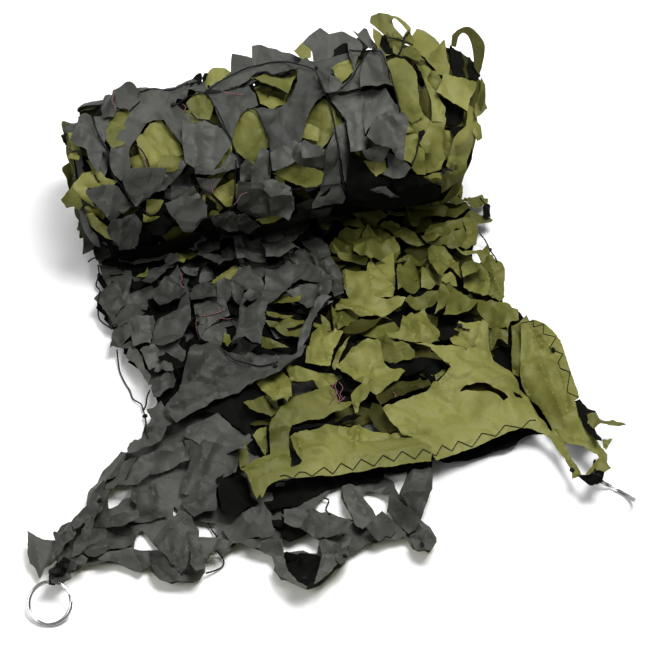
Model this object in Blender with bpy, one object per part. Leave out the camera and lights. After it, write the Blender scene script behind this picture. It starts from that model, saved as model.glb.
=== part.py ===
"""A leaf-cut camouflage net, rolled up, with its loose end spread in front of the roll.

The net is one cloth, charcoal on one face and olive on the other, cut with rows of crescents
that open into leaves, on a knotted cord net. Here it lies as it is unrolled: a roll at the
back, and in front of it three layers of the loose end. The lower layer lies on the floor with
its charcoal face up. It folds over along its left edge and comes back on top as a flap. The
olive layer lies between them and shows at the right. A corner tie at each front corner holds
a split ring.

Lengths are in millimetres in the tables and turned to metres by MM. X runs along the roll,
Y away from the viewer, Z up from the floor.
"""

import math
import random

import bmesh
import bpy
from mathutils import Vector, geometry

MM = 0.001

# Driving dimensions
CENTRE_SHIFT = (43.0, 31.2)  # moves the tables' middle to the middle of the box
SHEET = 2.0  # thickness of one cloth layer, with its net
GAP = 0.35  # room left between two pieces that touch
LAYER_STEP = SHEET + GAP
FLAP_ROOM = 1.8  # the folded flap springs clear of the olive layer

ROLL_LEFT, ROLL_RIGHT = -240.0, 198.0
ROLL_AXIS_Y = 175.0
ROLL_RADIUS_LEFT, ROLL_RADIUS_RIGHT = 72.0, 87.0
ROLL_PRESS = 4.0  # how far the roll's own weight flattens it underneath
ROLL_PUFF = 8.0  # how far the cloth stands out between two tie cords
ROLL_TIE_PITCH = 98.0
ROLL_WRAP_PITCH = 15.0  # distance between the turns that show as ridges at its ends
ROLL_LEAF_RELIEF = 5.0  # how far each leaf of the outer turn stands out
ROLL_END_WOBBLE = 5.0
ROLL_STEPS_ALONG, ROLL_STEPS_ROUND, ROLL_END_STEPS = 44, 42, 6

LEAF_PITCH_X, LEAF_PITCH_Y = 78.0, 40.0
LEAF_LENGTH, LEAF_RISE, LEAF_INNER = 58.0, 30.0, 13.0
LEAF_LIFT = 9.0
LATTICE = 27.0  # distance between the points inside a sheet

RING_OUTER, RING_RADIAL, RING_AXIAL = 40.0, 2.4, 1.6
RING_STEPS, RING_SIDES = 26, 8
RING_CROSSING = math.radians(16)
RING_CROSSING_PLACE = math.radians(160)  # where the two turns cross, round from the ring's side

LOOP_RADIUS, LOOP_CORD = 4.6, 2.4
LOOP_OFFSET = 1.7  # from the middle of the ring's wire to the middle of the cord loop, towards the knot
KNOT_RADIUS = 5.5
KNOT_OVERLAP = 0.55  # the share of the knot's radius that stands clear of the cord loop

# The folded edge that the lower layer and the flap share, from the roll to the front: (x, y)
FOLD_LINE = (
    (-221, 118), (-213, 70), (-209, 24), (-202, -27), (-190, -79), (-198, -125), (-212, -150),
)

FOLD_TURN_IN = 2.6  # how far the inner faces of the fold lie inside its outer edge

# Outlines, anticlockwise, that follow the fold line: (x, y)
LOWER_EDGE = (
    (-221, -163), (-244, -184), (-261, -212), (-282, -236), (-299, -242), (-319, -226),
    (-321, -258), (-309, -277), (-296, -283), (-281, -274), (-263, -270), (-242, -273),
    (-222, -288), (-214, -282), (-207, -297), (-186, -308), (-165, -305), (-146, -286),
    (-126, -272), (-105, -286), (-100, -309), (-85, -332), (-67, -333), (-40, -310),
    (-16, -299), (23, -301), (34, -311), (48, -300), (48, -280), (45, -264), (63, -218),
    (79, -196), (138, -186), (165, -120), (172, 40), (188, 130), (188, 204), (0, 206),
    (-232, 204), (-234, 150),
)
FLAP_EDGE = (
    (-200, -157), (-188, -153), (-165, -140), (-128, -127), (-116, -112), (-89, -100),
    (-73, -102), (-39, -84), (-11, -25), (9, 14), (20, 52), (24, 91), (23, 118), (-60, 121),
    (-140, 119),
)
OLIVE_EDGE = (
    (-197, 117), (-193, 70), (-190, 24), (-184, -27), (-170, -79), (-172, -128), (-162, -170),
    (-142, -200), (-120, -209), (-101, -212), (-63, -214), (-15, -214), (33, -213), (72, -210),
    (114, -203), (144, -198), (166, -200), (180, -216), (190, -240), (200, -262), (213, -264),
    (222, -256), (225, -242), (227, -197), (223, -170), (229, -130), (228, -82), (219, -61),
    (193, -58), (186, -30), (190, -4), (197, 36), (180, 59), (187, 81), (206, 104), (204, 119),
    (80, 121), (-60, 119),
)
CORNER_WINDOW = ((197, -214), (215, -209), (213, -242))  # the opening between the two corner strands

# Leaf cuts of the lower layer that show in front of the olive layer
FRONT_CUTS = (
    # x, y, length, rise, inner, turn in degrees
    (-230, -206, 32, 24, 2, 25),
    (-184, -228, 26, 12, -4, 60),
    (-214, -262, 30, 20, -2, 10),
    (-160, -270, 26, 22, 0, -20),
    (-122, -240, 40, 18, 2, 20),
    (-70, -296, 44, 30, 4, 5),
    (-42, -250, 46, 26, 2, -10),
    (2, -262, 40, 36, 6, -15),
    (-8, -284, 34, 10, -2, 170),
    (26, -232, 26, 14, -4, 0),
)

# Soft folds of each layer: a ridge from one point to another
FOLD_ROWS = {
    # x0, y0, x1, y1, width, height
    "lower": (
        (-312, -262, -262, -238, 20, 8.0),
        (-262, -238, -205, -180, 18, 7.0),
        (-200, -300, -150, -292, 12, 6.0),
        (-180, -290, -150, -235, 14, 5.0),
        (-92, -330, -62, -322, 12, 8.0),
        (-110, -290, -60, -240, 14, 5.0),
        (42, -305, 50, -262, 12, 8.0),
        (-20, -300, 20, -250, 16, 5.0),
    ),
    "olive": (
        (-110, -212, 150, -200, 24, 12.0),
        (205, -262, 222, -190, 18, 13.0),
        (222, -190, 228, -100, 22, 15.0),
        (190, -20, 196, 40, 20, 12.0),
        (60, 78, 190, 86, 20, 11.0),
        (40, 26, 165, 6, 22, 14.0),
        (-30, -52, 130, -74, 22, 13.0),
        (-90, -140, 60, -130, 20, 12.0),
        (110, -90, 160, -190, 20, 12.0),
    ),
    "flap": (
        (20, 90, 4, 14, 16, 13.0),
        (4, 14, -40, -74, 16, 12.0),
        (-40, -76, -118, -106, 14, 11.0),
        (-190, 76, -60, 56, 20, 13.0),
        (-180, 20, -50, -6, 20, 12.0),
        (-170, -60, -70, -50, 20, 12.0),
        (-180, -128, -130, -116, 16, 9.0),
    ),
}

# Cloth loops that stand up from the roll: foot a, foot b (x, degrees round the roll), height
STANDING_LOOPS = (
    # xa, round_a, xb, round_b, height
    (92, 112, 146, 104, 34),
    (158, 92, 190, 108, 30),
)
LOOP_WIDTH, LOOP_CLOTH = 12.0, 2.5

# Rings: middle (x, y), direction over the floor from the middle to the knot, its rise in degrees,
# lean of the ring about that direction in degrees
RINGS = {
    "left": dict(middle=(-306.0, -309.0), towards=(0.27, 0.963), rise=30.0, lean=0.0),
    "right": dict(middle=(223.0, -284.0), towards=(-0.842, 0.539), rise=20.2, lean=49.0),
}
# Where each corner tie's strand ends on its cloth: (x, y)
STRAND_ENDS = {"left": (-288.0, -262.0), "right": (215.0, -244.0)}
STRAND_ROOM = {"left": 0.2, "right": 0.1}  # for the slope of the cloth under the strand
STRAND_RADII = (4.2, 4.0, 3.6, 3.3, 3.0, 2.4)


def clear_scene():
    for obj in list(bpy.data.objects):
        bpy.data.objects.remove(obj, do_unlink=True)


def finish(name, colour, roughness, metallic=0.0):
    """A plain material."""
    material = bpy.data.materials.new(name)
    material.use_nodes = True
    shader = material.node_tree.nodes["Principled BSDF"]
    shader.inputs["Base Color"].default_value = (*colour, 1.0)
    shader.inputs["Roughness"].default_value = roughness
    shader.inputs["Metallic"].default_value = metallic
    return material


def metres(point):
    """A table point, in millimetres from the tables' middle, in the part's own metres."""
    return Vector(((point[0] + CENTRE_SHIFT[0]) * MM, (point[1] + CENTRE_SHIFT[1]) * MM, point[2] * MM))


def object_from(name, points, faces, material, helper=False):
    mesh = bpy.data.meshes.new(name)
    mesh.from_pydata([metres(point) for point in points], [], faces)
    mesh.update()
    mesh.materials.append(material)
    obj = bpy.data.objects.new(name, mesh)
    bpy.context.scene.collection.objects.link(obj)
    if helper:
        obj.hide_render = True
        obj.display_type = "WIRE"
    return obj


def join(body, *added):
    """A Boolean union of each added helper with the body."""
    for helper in added:
        union = body.modifiers.new("join_" + helper.name, "BOOLEAN")
        union.operation = "UNION"
        union.object = helper


# ---- outlines and heights ----

def inside(x, y, outline):
    found = False
    for (x0, y0), (x1, y1) in zip(outline, outline[1:] + outline[:1]):
        if (y0 > y) != (y1 > y) and x < (x1 - x0) * (y - y0) / (y1 - y0) + x0:
            found = not found
    return found


def to_segment(x, y, x0, y0, x1, y1):
    dx, dy = x1 - x0, y1 - y0
    t = max(0.0, min(1.0, ((x - x0) * dx + (y - y0) * dy) / (dx * dx + dy * dy)))
    return math.hypot(x - x0 - t * dx, y - y0 - t * dy)


def to_edge(x, y, outline):
    return min(to_segment(x, y, *a, *b) for a, b in zip(outline, outline[1:] + outline[:1]))


def folds(layer, x, y):
    """Height of a layer's highest fold at a point."""
    height = 0.0
    for x0, y0, x1, y1, width, rise in FOLD_ROWS[layer]:
        height = max(height, rise * math.exp(-((to_segment(x, y, x0, y0, x1, y1) / width) ** 2)))
    return height if height > 0.05 else 0.0


def lower_height(x, y):
    return folds("lower", x, y)


def olive_height(x, y):
    return LAYER_STEP + lower_height(x, y) + folds("olive", x, y)


def flap_height(x, y):
    return olive_height(x, y) + LAYER_STEP + FLAP_ROOM + folds("flap", x, y)


# ---- leaf cuts ----

class LeafCut:
    """A crescent cut: an outer arc, an inner arc, and the tongue of cloth that the inner arc frees."""

    def __init__(self, x, y, length, rise, inner, turn, lift):
        self.middle, self.length, self.rise, self.inner, self.lift = (x, y), length, rise, inner, lift
        self.along = (math.cos(math.radians(turn)), math.sin(math.radians(turn)))

    def place(self, u, v):
        (ax, ay), (mx, my) = self.along, self.middle
        return mx + u * ax - v * ay, my + u * ay + v * ax

    def outline(self):
        points = [self.place(-self.length / 2, 0)]
        for t in (0.22, 0.5, 0.78):
            points.append(self.place((t - 0.5) * self.length, 4 * self.rise * t * (1 - t)))
        points.append(self.place(self.length / 2, 0))
        for t in (0.72, 0.28):
            points.append(self.place((t - 0.5) * self.length, 4 * self.inner * t * (1 - t)))
        return points

    def lifted(self, x, y):
        """How far the tongue rises at a point."""
        if self.lift <= 0 or self.inner <= 0:
            return 0.0
        (ax, ay), (mx, my) = self.along, self.middle
        u = (x - mx) * ax + (y - my) * ay
        v = (y - my) * ax - (x - mx) * ay
        t = u / self.length + 0.5
        if not 0 < t < 1 or not 0 < v < 4 * self.inner * t * (1 - t) + 0.1:
            return 0.0
        return self.lift * (v / self.inner) ** 1.3


def leaf_cuts(outline, seed, allowed, kept=()):
    """Crescents in staggered rows, as the net is cut, wherever the outline has room for one."""
    chance = random.Random(seed)
    cuts = list(kept)
    taken = [point for cut in cuts for point in cut.outline()]
    row = 0
    y = -330.0
    while y < 130.0:
        x = -330.0 + (row % 2) * LEAF_PITCH_X / 2
        while x < 240.0:
            turn = (row // 2 % 2) * 180 + chance.uniform(-14, 14)
            scale = chance.uniform(0.84, 1.04)
            middle = (x + chance.uniform(-4, 4), y + chance.uniform(-3, 3))
            lift = LEAF_LIFT * chance.uniform(0.5, 1.2)
            cut = LeafCut(*middle, LEAF_LENGTH * scale, LEAF_RISE * scale, LEAF_INNER * scale, turn, lift)
            points = cut.outline()
            clear = all(inside(*point, outline) and to_edge(*point, outline) > 8 for point in points)
            apart = all(math.dist(p, q) > 10 for p in points for q in taken)
            if clear and apart and allowed(*middle):
                cuts.append(cut)
                taken += points
            x += LEAF_PITCH_X
        row += 1
        y += LEAF_PITCH_Y
    return cuts


# ---- sheets ----

def flat_pattern(outline, holes):
    """Points and triangles of an outline with holes, on an even lattice."""
    points = [Vector(p) for p in outline]
    edges = [(i, (i + 1) % len(outline)) for i in range(len(outline))]
    for hole in holes:
        first = len(points)
        points += [Vector(p) for p in hole]
        edges += [(first + i, first + (i + 1) % len(hole)) for i in range(len(hole))]
    rims = [outline] + list(holes)
    row = 0
    y = min(p[1] for p in outline)
    while y < max(p[1] for p in outline):
        x = min(p[0] for p in outline) + (row % 2) * LATTICE / 2
        while x < max(p[0] for p in outline):
            if inside(x, y, outline) and min(to_edge(x, y, rim) for rim in rims) > LATTICE * 0.33:
                if not any(inside(x, y, hole) for hole in holes):
                    points.append(Vector((x, y)))
            x += LATTICE
        row += 1
        y += LATTICE * 0.87
    found, _, faces = geometry.delaunay_2d_cdt(points, edges, [], 0, 1e-4, False)[:3]
    kept = []
    for face in faces:
        middle = sum((found[i] for i in face), Vector((0, 0))) / 3
        if inside(*middle, outline) and not any(inside(*middle, hole) for hole in holes):
            kept.append(tuple(face))
    return [(p.x, p.y) for p in found], kept


def rim_edges(faces):
    """Directed edges that only one triangle uses."""
    used = {(a, b) for face in faces for a, b in zip(face, face[1:] + face[:1])}
    return sorted((a, b) for a, b in used if (b, a) not in used)


class Sheet:
    """One layer of cloth: its flat pattern lifted to an underside and a top."""

    def __init__(self, outline, cuts, windows, height):
        holes = [cut.outline() for cut in cuts] + [list(window) for window in windows]
        self.flat, self.faces = flat_pattern(outline, holes)
        self.rim = rim_edges(self.faces)
        lift = [max([0.0] + [cut.lifted(x, y) for cut in cuts]) for x, y in self.flat]
        self.under = [(x, y, height(x, y) + up) for (x, y), up in zip(self.flat, lift)]
        self.top = [(x, y, z + SHEET) for x, y, z in self.under]

    def add_to(self, points, faces, open_edges=()):
        """Adds both faces and the walls of the rim, but for the edges left open."""
        first = len(points)
        count = len(self.flat)
        points += self.under + self.top
        faces += [tuple(first + i for i in reversed(face)) for face in self.faces]
        faces += [tuple(first + count + i for i in face) for face in self.faces]
        for a, b in self.rim:
            if (a, b) not in open_edges:
                faces.append((first + a, first + b, first + count + b, first + count + a))
        return first, first + count


def fold_indices(sheet):
    """The sheet's own numbers for the points of the fold line."""
    return [min(range(len(sheet.flat)), key=lambda i: math.dist(sheet.flat[i], p)) for p in FOLD_LINE]


def dark_cloth(material):
    """The lower layer and the flap: one cloth that turns over along the fold line."""
    lower_outline = list(FOLD_LINE) + list(LOWER_EDGE)
    flap_outline = list(FOLD_LINE) + list(FLAP_EDGE)
    front = [LeafCut(*row, 0.0) for row in FRONT_CUTS]
    lower_cuts = leaf_cuts(lower_outline, 3, lambda x, y: -185 < y < 100 and x < 150, front)
    for cut in lower_cuts:
        cut.lift = 0.0
    lower = Sheet(lower_outline, lower_cuts, [], lower_height)
    flap = Sheet(flap_outline, leaf_cuts(flap_outline, 7, lambda x, y: True), [], flap_height)
    lower_fold, flap_fold = fold_indices(lower), fold_indices(flap)
    for number in lower_fold:
        x, y, z = lower.top[number]
        lower.top[number] = (x + FOLD_TURN_IN, y, z)
    for number in flap_fold:
        x, y, z = flap.under[number]
        flap.under[number] = (x + FOLD_TURN_IN, y, z)
    points, faces = [], []
    lower_open = set(zip(lower_fold, lower_fold[1:]))
    flap_open = set(zip(flap_fold, flap_fold[1:]))
    lower_under, lower_top = lower.add_to(points, faces, lower_open)
    flap_under, flap_top = flap.add_to(points, faces, flap_open)
    rows = [
        (lower_under + low, lower_top + low, flap_under + high, flap_top + high)
        for low, high in zip(lower_fold, flap_fold)
    ]
    for here, there in zip(rows, rows[1:]):
        faces.append((here[0], there[0], there[3], here[3]))
        faces.append((here[2], there[2], there[1], here[1]))
    faces.append((rows[0][3], rows[0][2], rows[0][1], rows[0][0]))
    faces.append(rows[-1])
    return object_from("dark_layers", points, faces, material)


def olive_cloth(material):
    flap_outline = list(FOLD_LINE) + list(FLAP_EDGE)
    cuts = leaf_cuts(list(OLIVE_EDGE), 11, lambda x, y: y < 95 and not (x > 170 and y < -150))
    for cut in cuts:
        if any(inside(*p, flap_outline) or to_edge(*p, flap_outline) < 8 for p in cut.outline()):
            cut.lift = 0.0
    sheet = Sheet(list(OLIVE_EDGE), cuts, [CORNER_WINDOW], olive_height)
    points, faces = [], []
    sheet.add_to(points, faces)
    return object_from("olive_layer", points, faces, material)


# ---- the roll ----

def roll_radius(share):
    return ROLL_RADIUS_LEFT + (ROLL_RADIUS_RIGHT - ROLL_RADIUS_LEFT) * share


def roll_height(share):
    """Height of the roll's axis, so that its flat underside lies on the lower layer."""
    return LAYER_STEP - ROLL_PRESS + roll_radius(share)


def leaf_relief(along, across):
    """Height of the leaf that covers a point of the outer turn, on the staggered leaf lattice."""
    row = math.floor(across / LEAF_PITCH_Y)
    u = (along / LEAF_PITCH_X + (row % 2) / 2) % 1.0 - 0.5
    v = (across / LEAF_PITCH_Y) % 1.0 - 0.5
    return ROLL_LEAF_RELIEF * max(0.0, 1 - (2.1 * u) ** 2 - (2.1 * v) ** 2) ** 0.5


def roll_surface(x, turn):
    """A point of the wound cloth, at a place along the roll and an angle round it from the front."""
    share = (x - ROLL_LEFT) / (ROLL_RIGHT - ROLL_LEFT)
    angle = math.radians(turn)
    free = max(0.0, min(1.0, math.sin(angle) * 1.4 + 0.9))
    to_tie = abs((x / ROLL_TIE_PITCH) % 1.0 - 0.5) * 2
    wave = 0.5 + 0.5 * math.cos(math.radians(turn * 7 + 180 * math.floor(x / ROLL_TIE_PITCH)))
    shoulder = math.sqrt(max(0.0, 1 - abs(2 * share - 1) ** 9))
    puff = ROLL_PUFF * (1 - 0.75 * to_tie**4) * (0.35 + 0.65 * wave) * free
    puff += leaf_relief(x, roll_radius(share) * angle) * free
    radius = (roll_radius(share) + puff) * (0.9 + 0.1 * shoulder)
    y = ROLL_AXIS_Y - radius * math.cos(angle)
    z = roll_height(share) + radius * math.sin(angle)
    ragged = math.cos(angle * 3 + share * 2) + 0.7 * math.cos(angle * 7 + 1)
    return x + ROLL_END_WOBBLE * 0.5 * ragged * (2 * share - 1) ** 7, y, max(LAYER_STEP, z)


def roll_end(x, share_in, turn, side):
    """A point of an end face, where the edges of the wound turns make a spiral ridge."""
    rim, y, z = roll_surface(x, turn)
    share = (x - ROLL_LEFT) / (ROLL_RIGHT - ROLL_LEFT)
    middle = roll_height(share)
    y = ROLL_AXIS_Y + (y - ROLL_AXIS_Y) * share_in
    z = middle + (z - middle) * share_in
    across = roll_radius(share) * share_in
    ridge = math.cos(2 * math.pi * (across / (2 * ROLL_WRAP_PITCH) + turn / 360))
    return rim + side * (3.0 + 4.0 * ridge), y, z


def strip(name, path, width, thickness, material):
    """A flat strip of cloth along a path, as a closed helper."""
    rows = []
    for number, here in enumerate(path):
        before, after = path[max(number - 1, 0)], path[min(number + 1, len(path) - 1)]
        tangent = (after - before).normalized()
        outward = Vector((0, 1, 0)).cross(tangent).normalized() * (thickness / 2)
        across = tangent.cross(outward).normalized() * (width / 2)
        rows.append([here - across - outward, here + across - outward, here + across + outward,
                     here - across + outward])
    return lofted(name, rows, material, helper=True)


def outward_faces(obj):
    work = bmesh.new()
    work.from_mesh(obj.data)
    bmesh.ops.recalc_face_normals(work, faces=work.faces)
    work.to_mesh(obj.data)
    work.free()


def rolled_net(material):
    points, faces = [], []
    turns = [360 * i / ROLL_STEPS_ROUND for i in range(ROLL_STEPS_ROUND)]
    length = ROLL_RIGHT - ROLL_LEFT
    stations = [ROLL_LEFT + length * i / ROLL_STEPS_ALONG for i in range(ROLL_STEPS_ALONG + 1)]
    rows = [
        [roll_end(ROLL_LEFT, i / ROLL_END_STEPS, turn, -1) for turn in turns]
        for i in range(1, ROLL_END_STEPS)
    ]
    rows += [[roll_surface(x, turn) for turn in turns] for x in stations]
    rows += [
        [roll_end(ROLL_RIGHT, i / ROLL_END_STEPS, turn, 1) for turn in turns]
        for i in range(ROLL_END_STEPS - 1, 0, -1)
    ]
    for row in rows:
        points += row
    for i in range(len(rows) - 1):
        for j in range(ROLL_STEPS_ROUND):
            a, b = i * ROLL_STEPS_ROUND + j, i * ROLL_STEPS_ROUND + (j + 1) % ROLL_STEPS_ROUND
            faces.append((a, b, b + ROLL_STEPS_ROUND, a + ROLL_STEPS_ROUND))
    points.append((ROLL_LEFT - 2, ROLL_AXIS_Y, roll_height(0)))
    points.append((ROLL_RIGHT + 2, ROLL_AXIS_Y, roll_height(1)))
    last = (len(rows) - 1) * ROLL_STEPS_ROUND
    for j in range(ROLL_STEPS_ROUND):
        k = (j + 1) % ROLL_STEPS_ROUND
        faces.append((k, j, len(points) - 2))
        faces.append((last + j, last + k, len(points) - 1))
    roll = object_from("roll", points, faces, material)
    outward_faces(roll)
    for number, (xa, round_a, xb, round_b, height) in enumerate(STANDING_LOOPS):
        path = []
        for i in range(9):
            t = i / 8
            x = xa + (xb - xa) * t
            _, y, z = roll_surface(x, round_a + (round_b - round_a) * t)
            arch = math.sin(math.pi * t)
            path.append(Vector((x, y + height * 0.25 * arch, z - 4 + (height + 4) * arch**0.7)))
        join(roll, strip(f"standing_loop_{number}", path, LOOP_WIDTH, LOOP_CLOTH, material))
    return roll


# ---- rings and corner ties ----

def ring_axes(side):
    """Unit vectors of a ring: from its middle to the knot, along its plane, and square to it."""
    row = RINGS[side]
    rise = math.radians(row["rise"])
    flat = Vector((*row["towards"], 0)).normalized()
    to_knot = Vector((flat.x * math.cos(rise), flat.y * math.cos(rise), math.sin(rise)))
    level = Vector((0, 0, 1)).cross(flat).normalized()
    lean = math.radians(row["lean"])
    square = to_knot.cross(level)
    in_plane = level * math.cos(lean) + square * math.sin(lean)
    return to_knot, in_plane.normalized(), to_knot.cross(in_plane).normalized()


def ring_points(side, middle):
    """The rows of points round the flat wire, along its two turns, which cross over once."""
    to_knot, in_plane, normal = ring_axes(side)
    radius = (RING_OUTER - RING_RADIAL) / 2
    offset = (RING_AXIAL + GAP) / 2
    start, end = RING_CROSSING * 1.6, 4 * math.pi - RING_CROSSING * 1.6
    rows = []
    for i in range(2 * RING_STEPS + 1):
        angle = start + (end - start) * i / (2 * RING_STEPS)
        crossing = max(-1.0, min(1.0, (angle - 2 * math.pi) / RING_CROSSING))
        place = angle + RING_CROSSING_PLACE
        out = in_plane * math.cos(place) + to_knot * math.sin(place)
        here = middle + out * radius + normal * (offset * math.sin(crossing * math.pi / 2))
        row = []
        for j in range(RING_SIDES):
            turn = 2 * math.pi * (j + 0.5) / RING_SIDES
            radial = out * (math.cos(turn) * RING_RADIAL / 2)
            row.append(here + radial + normal * (math.sin(turn) * RING_AXIAL / 2))
        rows.append(row)
    return rows


def ring_middle(side):
    """The middle of a ring whose lowest edge stands on the floor."""
    on_floor = Vector((*RINGS[side]["middle"], 0))
    lowest = min(point.z for row in ring_points(side, on_floor) for point in row)
    return on_floor - Vector((0, 0, lowest))


def split_ring(side, material):
    rows = ring_points(side, ring_middle(side))
    return lofted("split_ring_" + side, rows, material)


def lofted(name, rows, material, closed=False, helper=False):
    """A closed body through rows of points, with flat ends unless its last row joins its first."""
    sides, count = len(rows[0]), len(rows)
    points = [point for row in rows for point in row]
    faces = []
    for i in range(count if closed else count - 1):
        for j in range(sides):
            k, n = (j + 1) % sides, (i + 1) % count
            faces.append((i * sides + j, i * sides + k, n * sides + k, n * sides + j))
    if not closed:
        faces.append(tuple(range(sides)))
        faces.append(tuple((count - 1) * sides + j for j in reversed(range(sides))))
    obj = object_from(name, points, faces, material, helper=helper)
    outward_faces(obj)
    return obj


def tube(name, path, radii, sides, material, closed=False):
    """A round cord along a path, with a radius for each point, as a closed helper."""
    rows = []
    count = len(path)
    for i, here in enumerate(path):
        before = path[(i - 1) % count] if closed else path[max(i - 1, 0)]
        after = path[(i + 1) % count] if closed else path[min(i + 1, count - 1)]
        tangent = (after - before).normalized()
        if i == 0:
            across = tangent.orthogonal().normalized()
        else:
            across = (across - tangent * across.dot(tangent)).normalized()
        other = tangent.cross(across)
        turns = [2 * math.pi * j / sides for j in range(sides)]
        rows.append([here + (across * math.cos(a) + other * math.sin(a)) * radii[i] for a in turns])
    return lofted(name, rows, material, closed=closed, helper=True)


def corner_tie(side, material):
    """The bunched corner: a strand on the cloth, a knot, and a cord loop through the ring."""
    to_knot, _, normal = ring_axes(side)
    wire = ring_middle(side) + to_knot * ((RING_OUTER - RING_RADIAL) / 2)
    loop_middle = wire + to_knot * LOOP_OFFSET
    loop = []
    for i in range(14):
        angle = 2 * math.pi * i / 14
        loop.append(loop_middle + (to_knot * math.cos(angle) + normal * math.sin(angle)) * LOOP_RADIUS)
    eye = tube(f"eye_{side}", loop, [LOOP_CORD / 2] * 14, 8, material, closed=True)
    knot_middle = loop_middle + to_knot * (LOOP_RADIUS + KNOT_RADIUS * KNOT_OVERLAP)
    end_x, end_y = STRAND_ENDS[side]
    cloth = lower_height if side == "left" else olive_height
    strand = []
    for i in range(6):
        t = i / 5
        x = knot_middle.x + (end_x - knot_middle.x) * t
        y = knot_middle.y + (end_y - knot_middle.y) * t
        ground = cloth(x, y) + LAYER_STEP + STRAND_ROOM[side] + STRAND_RADII[i]
        hanging = knot_middle.z * (1 - t) ** 2 + ground * (1 - (1 - t) ** 2)
        strand.append(Vector((x, y, max(ground, hanging))))
    tail = tube(f"strand_{side}", strand, STRAND_RADII, 8, material)
    rows = []
    for i in range(1, 8):
        angle = math.pi * i / 8
        row = []
        for j in range(10):
            turn = 2 * math.pi * j / 10
            lump = 1 + 0.1 * math.cos(3 * turn + 4 * angle)
            across = KNOT_RADIUS * math.sin(angle) * lump
            up = KNOT_RADIUS * math.cos(angle)
            row.append(knot_middle + Vector((across * math.cos(turn), across * math.sin(turn), up)))
        rows.append(row)
    knot = lofted("corner_tie_" + side, rows, material)
    join(knot, eye, tail)
    return knot


def build():
    clear_scene()
    dark = finish("dark_cloth", (0.075, 0.08, 0.072), 0.62)
    olive = finish("olive_cloth", (0.205, 0.215, 0.062), 0.58)
    cord = finish("net_cord", (0.02, 0.024, 0.02), 0.8)
    steel = finish("ring_steel", (0.72, 0.72, 0.7), 0.25, metallic=1.0)
    rolled_net(dark)
    dark_cloth(dark)
    olive_cloth(olive)
    for side in RINGS:
        split_ring(side, steel)
        corner_tie(side, cord)


build()
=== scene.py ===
# %% [markdown]
# A camouflage net, rolled up, with its loose end spread in front of the roll. The real net is a thin coated
# cloth, charcoal on one face and olive on the other. Rows of crescents are cut in it, so that it opens into
# leaves, and it is tied at intervals to a knotted cord net. This lesson dresses the solids of the packed
# model with that cloth, leaf by leaf, and then adds the hems, stitches, strings, knots and rings.

# %% Load the frame
import math
import random

import bmesh
import bpy
import numpy as np
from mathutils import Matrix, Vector, geometry
from mathutils.bvhtree import BVHTree


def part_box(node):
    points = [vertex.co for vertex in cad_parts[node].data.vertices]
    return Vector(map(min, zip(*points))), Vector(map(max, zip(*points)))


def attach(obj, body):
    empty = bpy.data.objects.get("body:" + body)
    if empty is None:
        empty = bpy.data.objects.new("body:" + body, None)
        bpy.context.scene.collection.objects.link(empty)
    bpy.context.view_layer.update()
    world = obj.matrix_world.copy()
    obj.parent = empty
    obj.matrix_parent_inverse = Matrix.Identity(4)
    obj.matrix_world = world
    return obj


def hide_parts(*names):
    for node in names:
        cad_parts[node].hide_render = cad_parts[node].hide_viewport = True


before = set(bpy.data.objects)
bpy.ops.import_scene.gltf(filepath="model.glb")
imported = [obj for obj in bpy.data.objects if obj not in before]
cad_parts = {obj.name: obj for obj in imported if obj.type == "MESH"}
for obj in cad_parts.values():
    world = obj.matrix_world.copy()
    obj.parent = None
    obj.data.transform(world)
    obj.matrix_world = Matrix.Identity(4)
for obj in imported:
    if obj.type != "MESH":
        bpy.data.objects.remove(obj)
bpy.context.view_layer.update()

MM = 0.001
print("solids:", sorted(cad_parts))

# %% [markdown]
# A few helpers that every piece uses: a mesh object from points in millimetres, the thickness of the cloth,
# a plain mesh from an object with its modifiers, and a shader or geometry node with its inputs set.

# %% Helpers
CLOTH_THICKNESS = 0.5  # millimetres
CLOTH_CRISP = math.radians(27)  # edges of the cloth that are sharper than this stay crisp


def new_object(name, points, edges=(), faces=()):
    """A linked object with a mesh of points in millimetres."""
    mesh = bpy.data.meshes.new(name)
    mesh.from_pydata((np.array(points, float) * MM).tolist(), list(edges), list(faces))
    mesh.update()
    obj = bpy.data.objects.new(name, mesh)
    bpy.context.scene.collection.objects.link(obj)
    return obj


def face_outwards(mesh):
    work = bmesh.new()
    work.from_mesh(mesh)
    bmesh.ops.recalc_face_normals(work, faces=work.faces)
    work.to_mesh(mesh)
    work.free()


def thicken(obj):
    """Gives cloth its thickness, with the next material of its list on the lower face."""
    wall = obj.modifiers.new("thickness", "SOLIDIFY")
    wall.thickness, wall.offset, wall.material_offset = CLOTH_THICKNESS * MM, -1, 1


def plain(obj, crisp=CLOTH_CRISP):
    """Turns an object with its modifiers into a plain mesh, with its sharper edges crisp."""
    done = bpy.data.meshes.new_from_object(obj.evaluated_get(bpy.context.evaluated_depsgraph_get()))
    obj.modifiers.clear()
    obj.data = done
    done.shade_smooth()
    done.set_sharp_from_angle(angle=crisp)


def new_group(name, inputs, outputs, kind="ShaderNodeTree"):
    """A node group with its sockets, its input node and its output node."""
    group = bpy.data.node_groups.new(name, kind)
    for label, socket_kind, value in inputs:
        socket = group.interface.new_socket(label, in_out="INPUT", socket_type="NodeSocket" + socket_kind)
        if value is not None:
            socket.default_value = value
    for label, socket_kind in outputs:
        group.interface.new_socket(label, in_out="OUTPUT", socket_type="NodeSocket" + socket_kind)
    return group, group.nodes.new("NodeGroupInput"), group.nodes.new("NodeGroupOutput")


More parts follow.
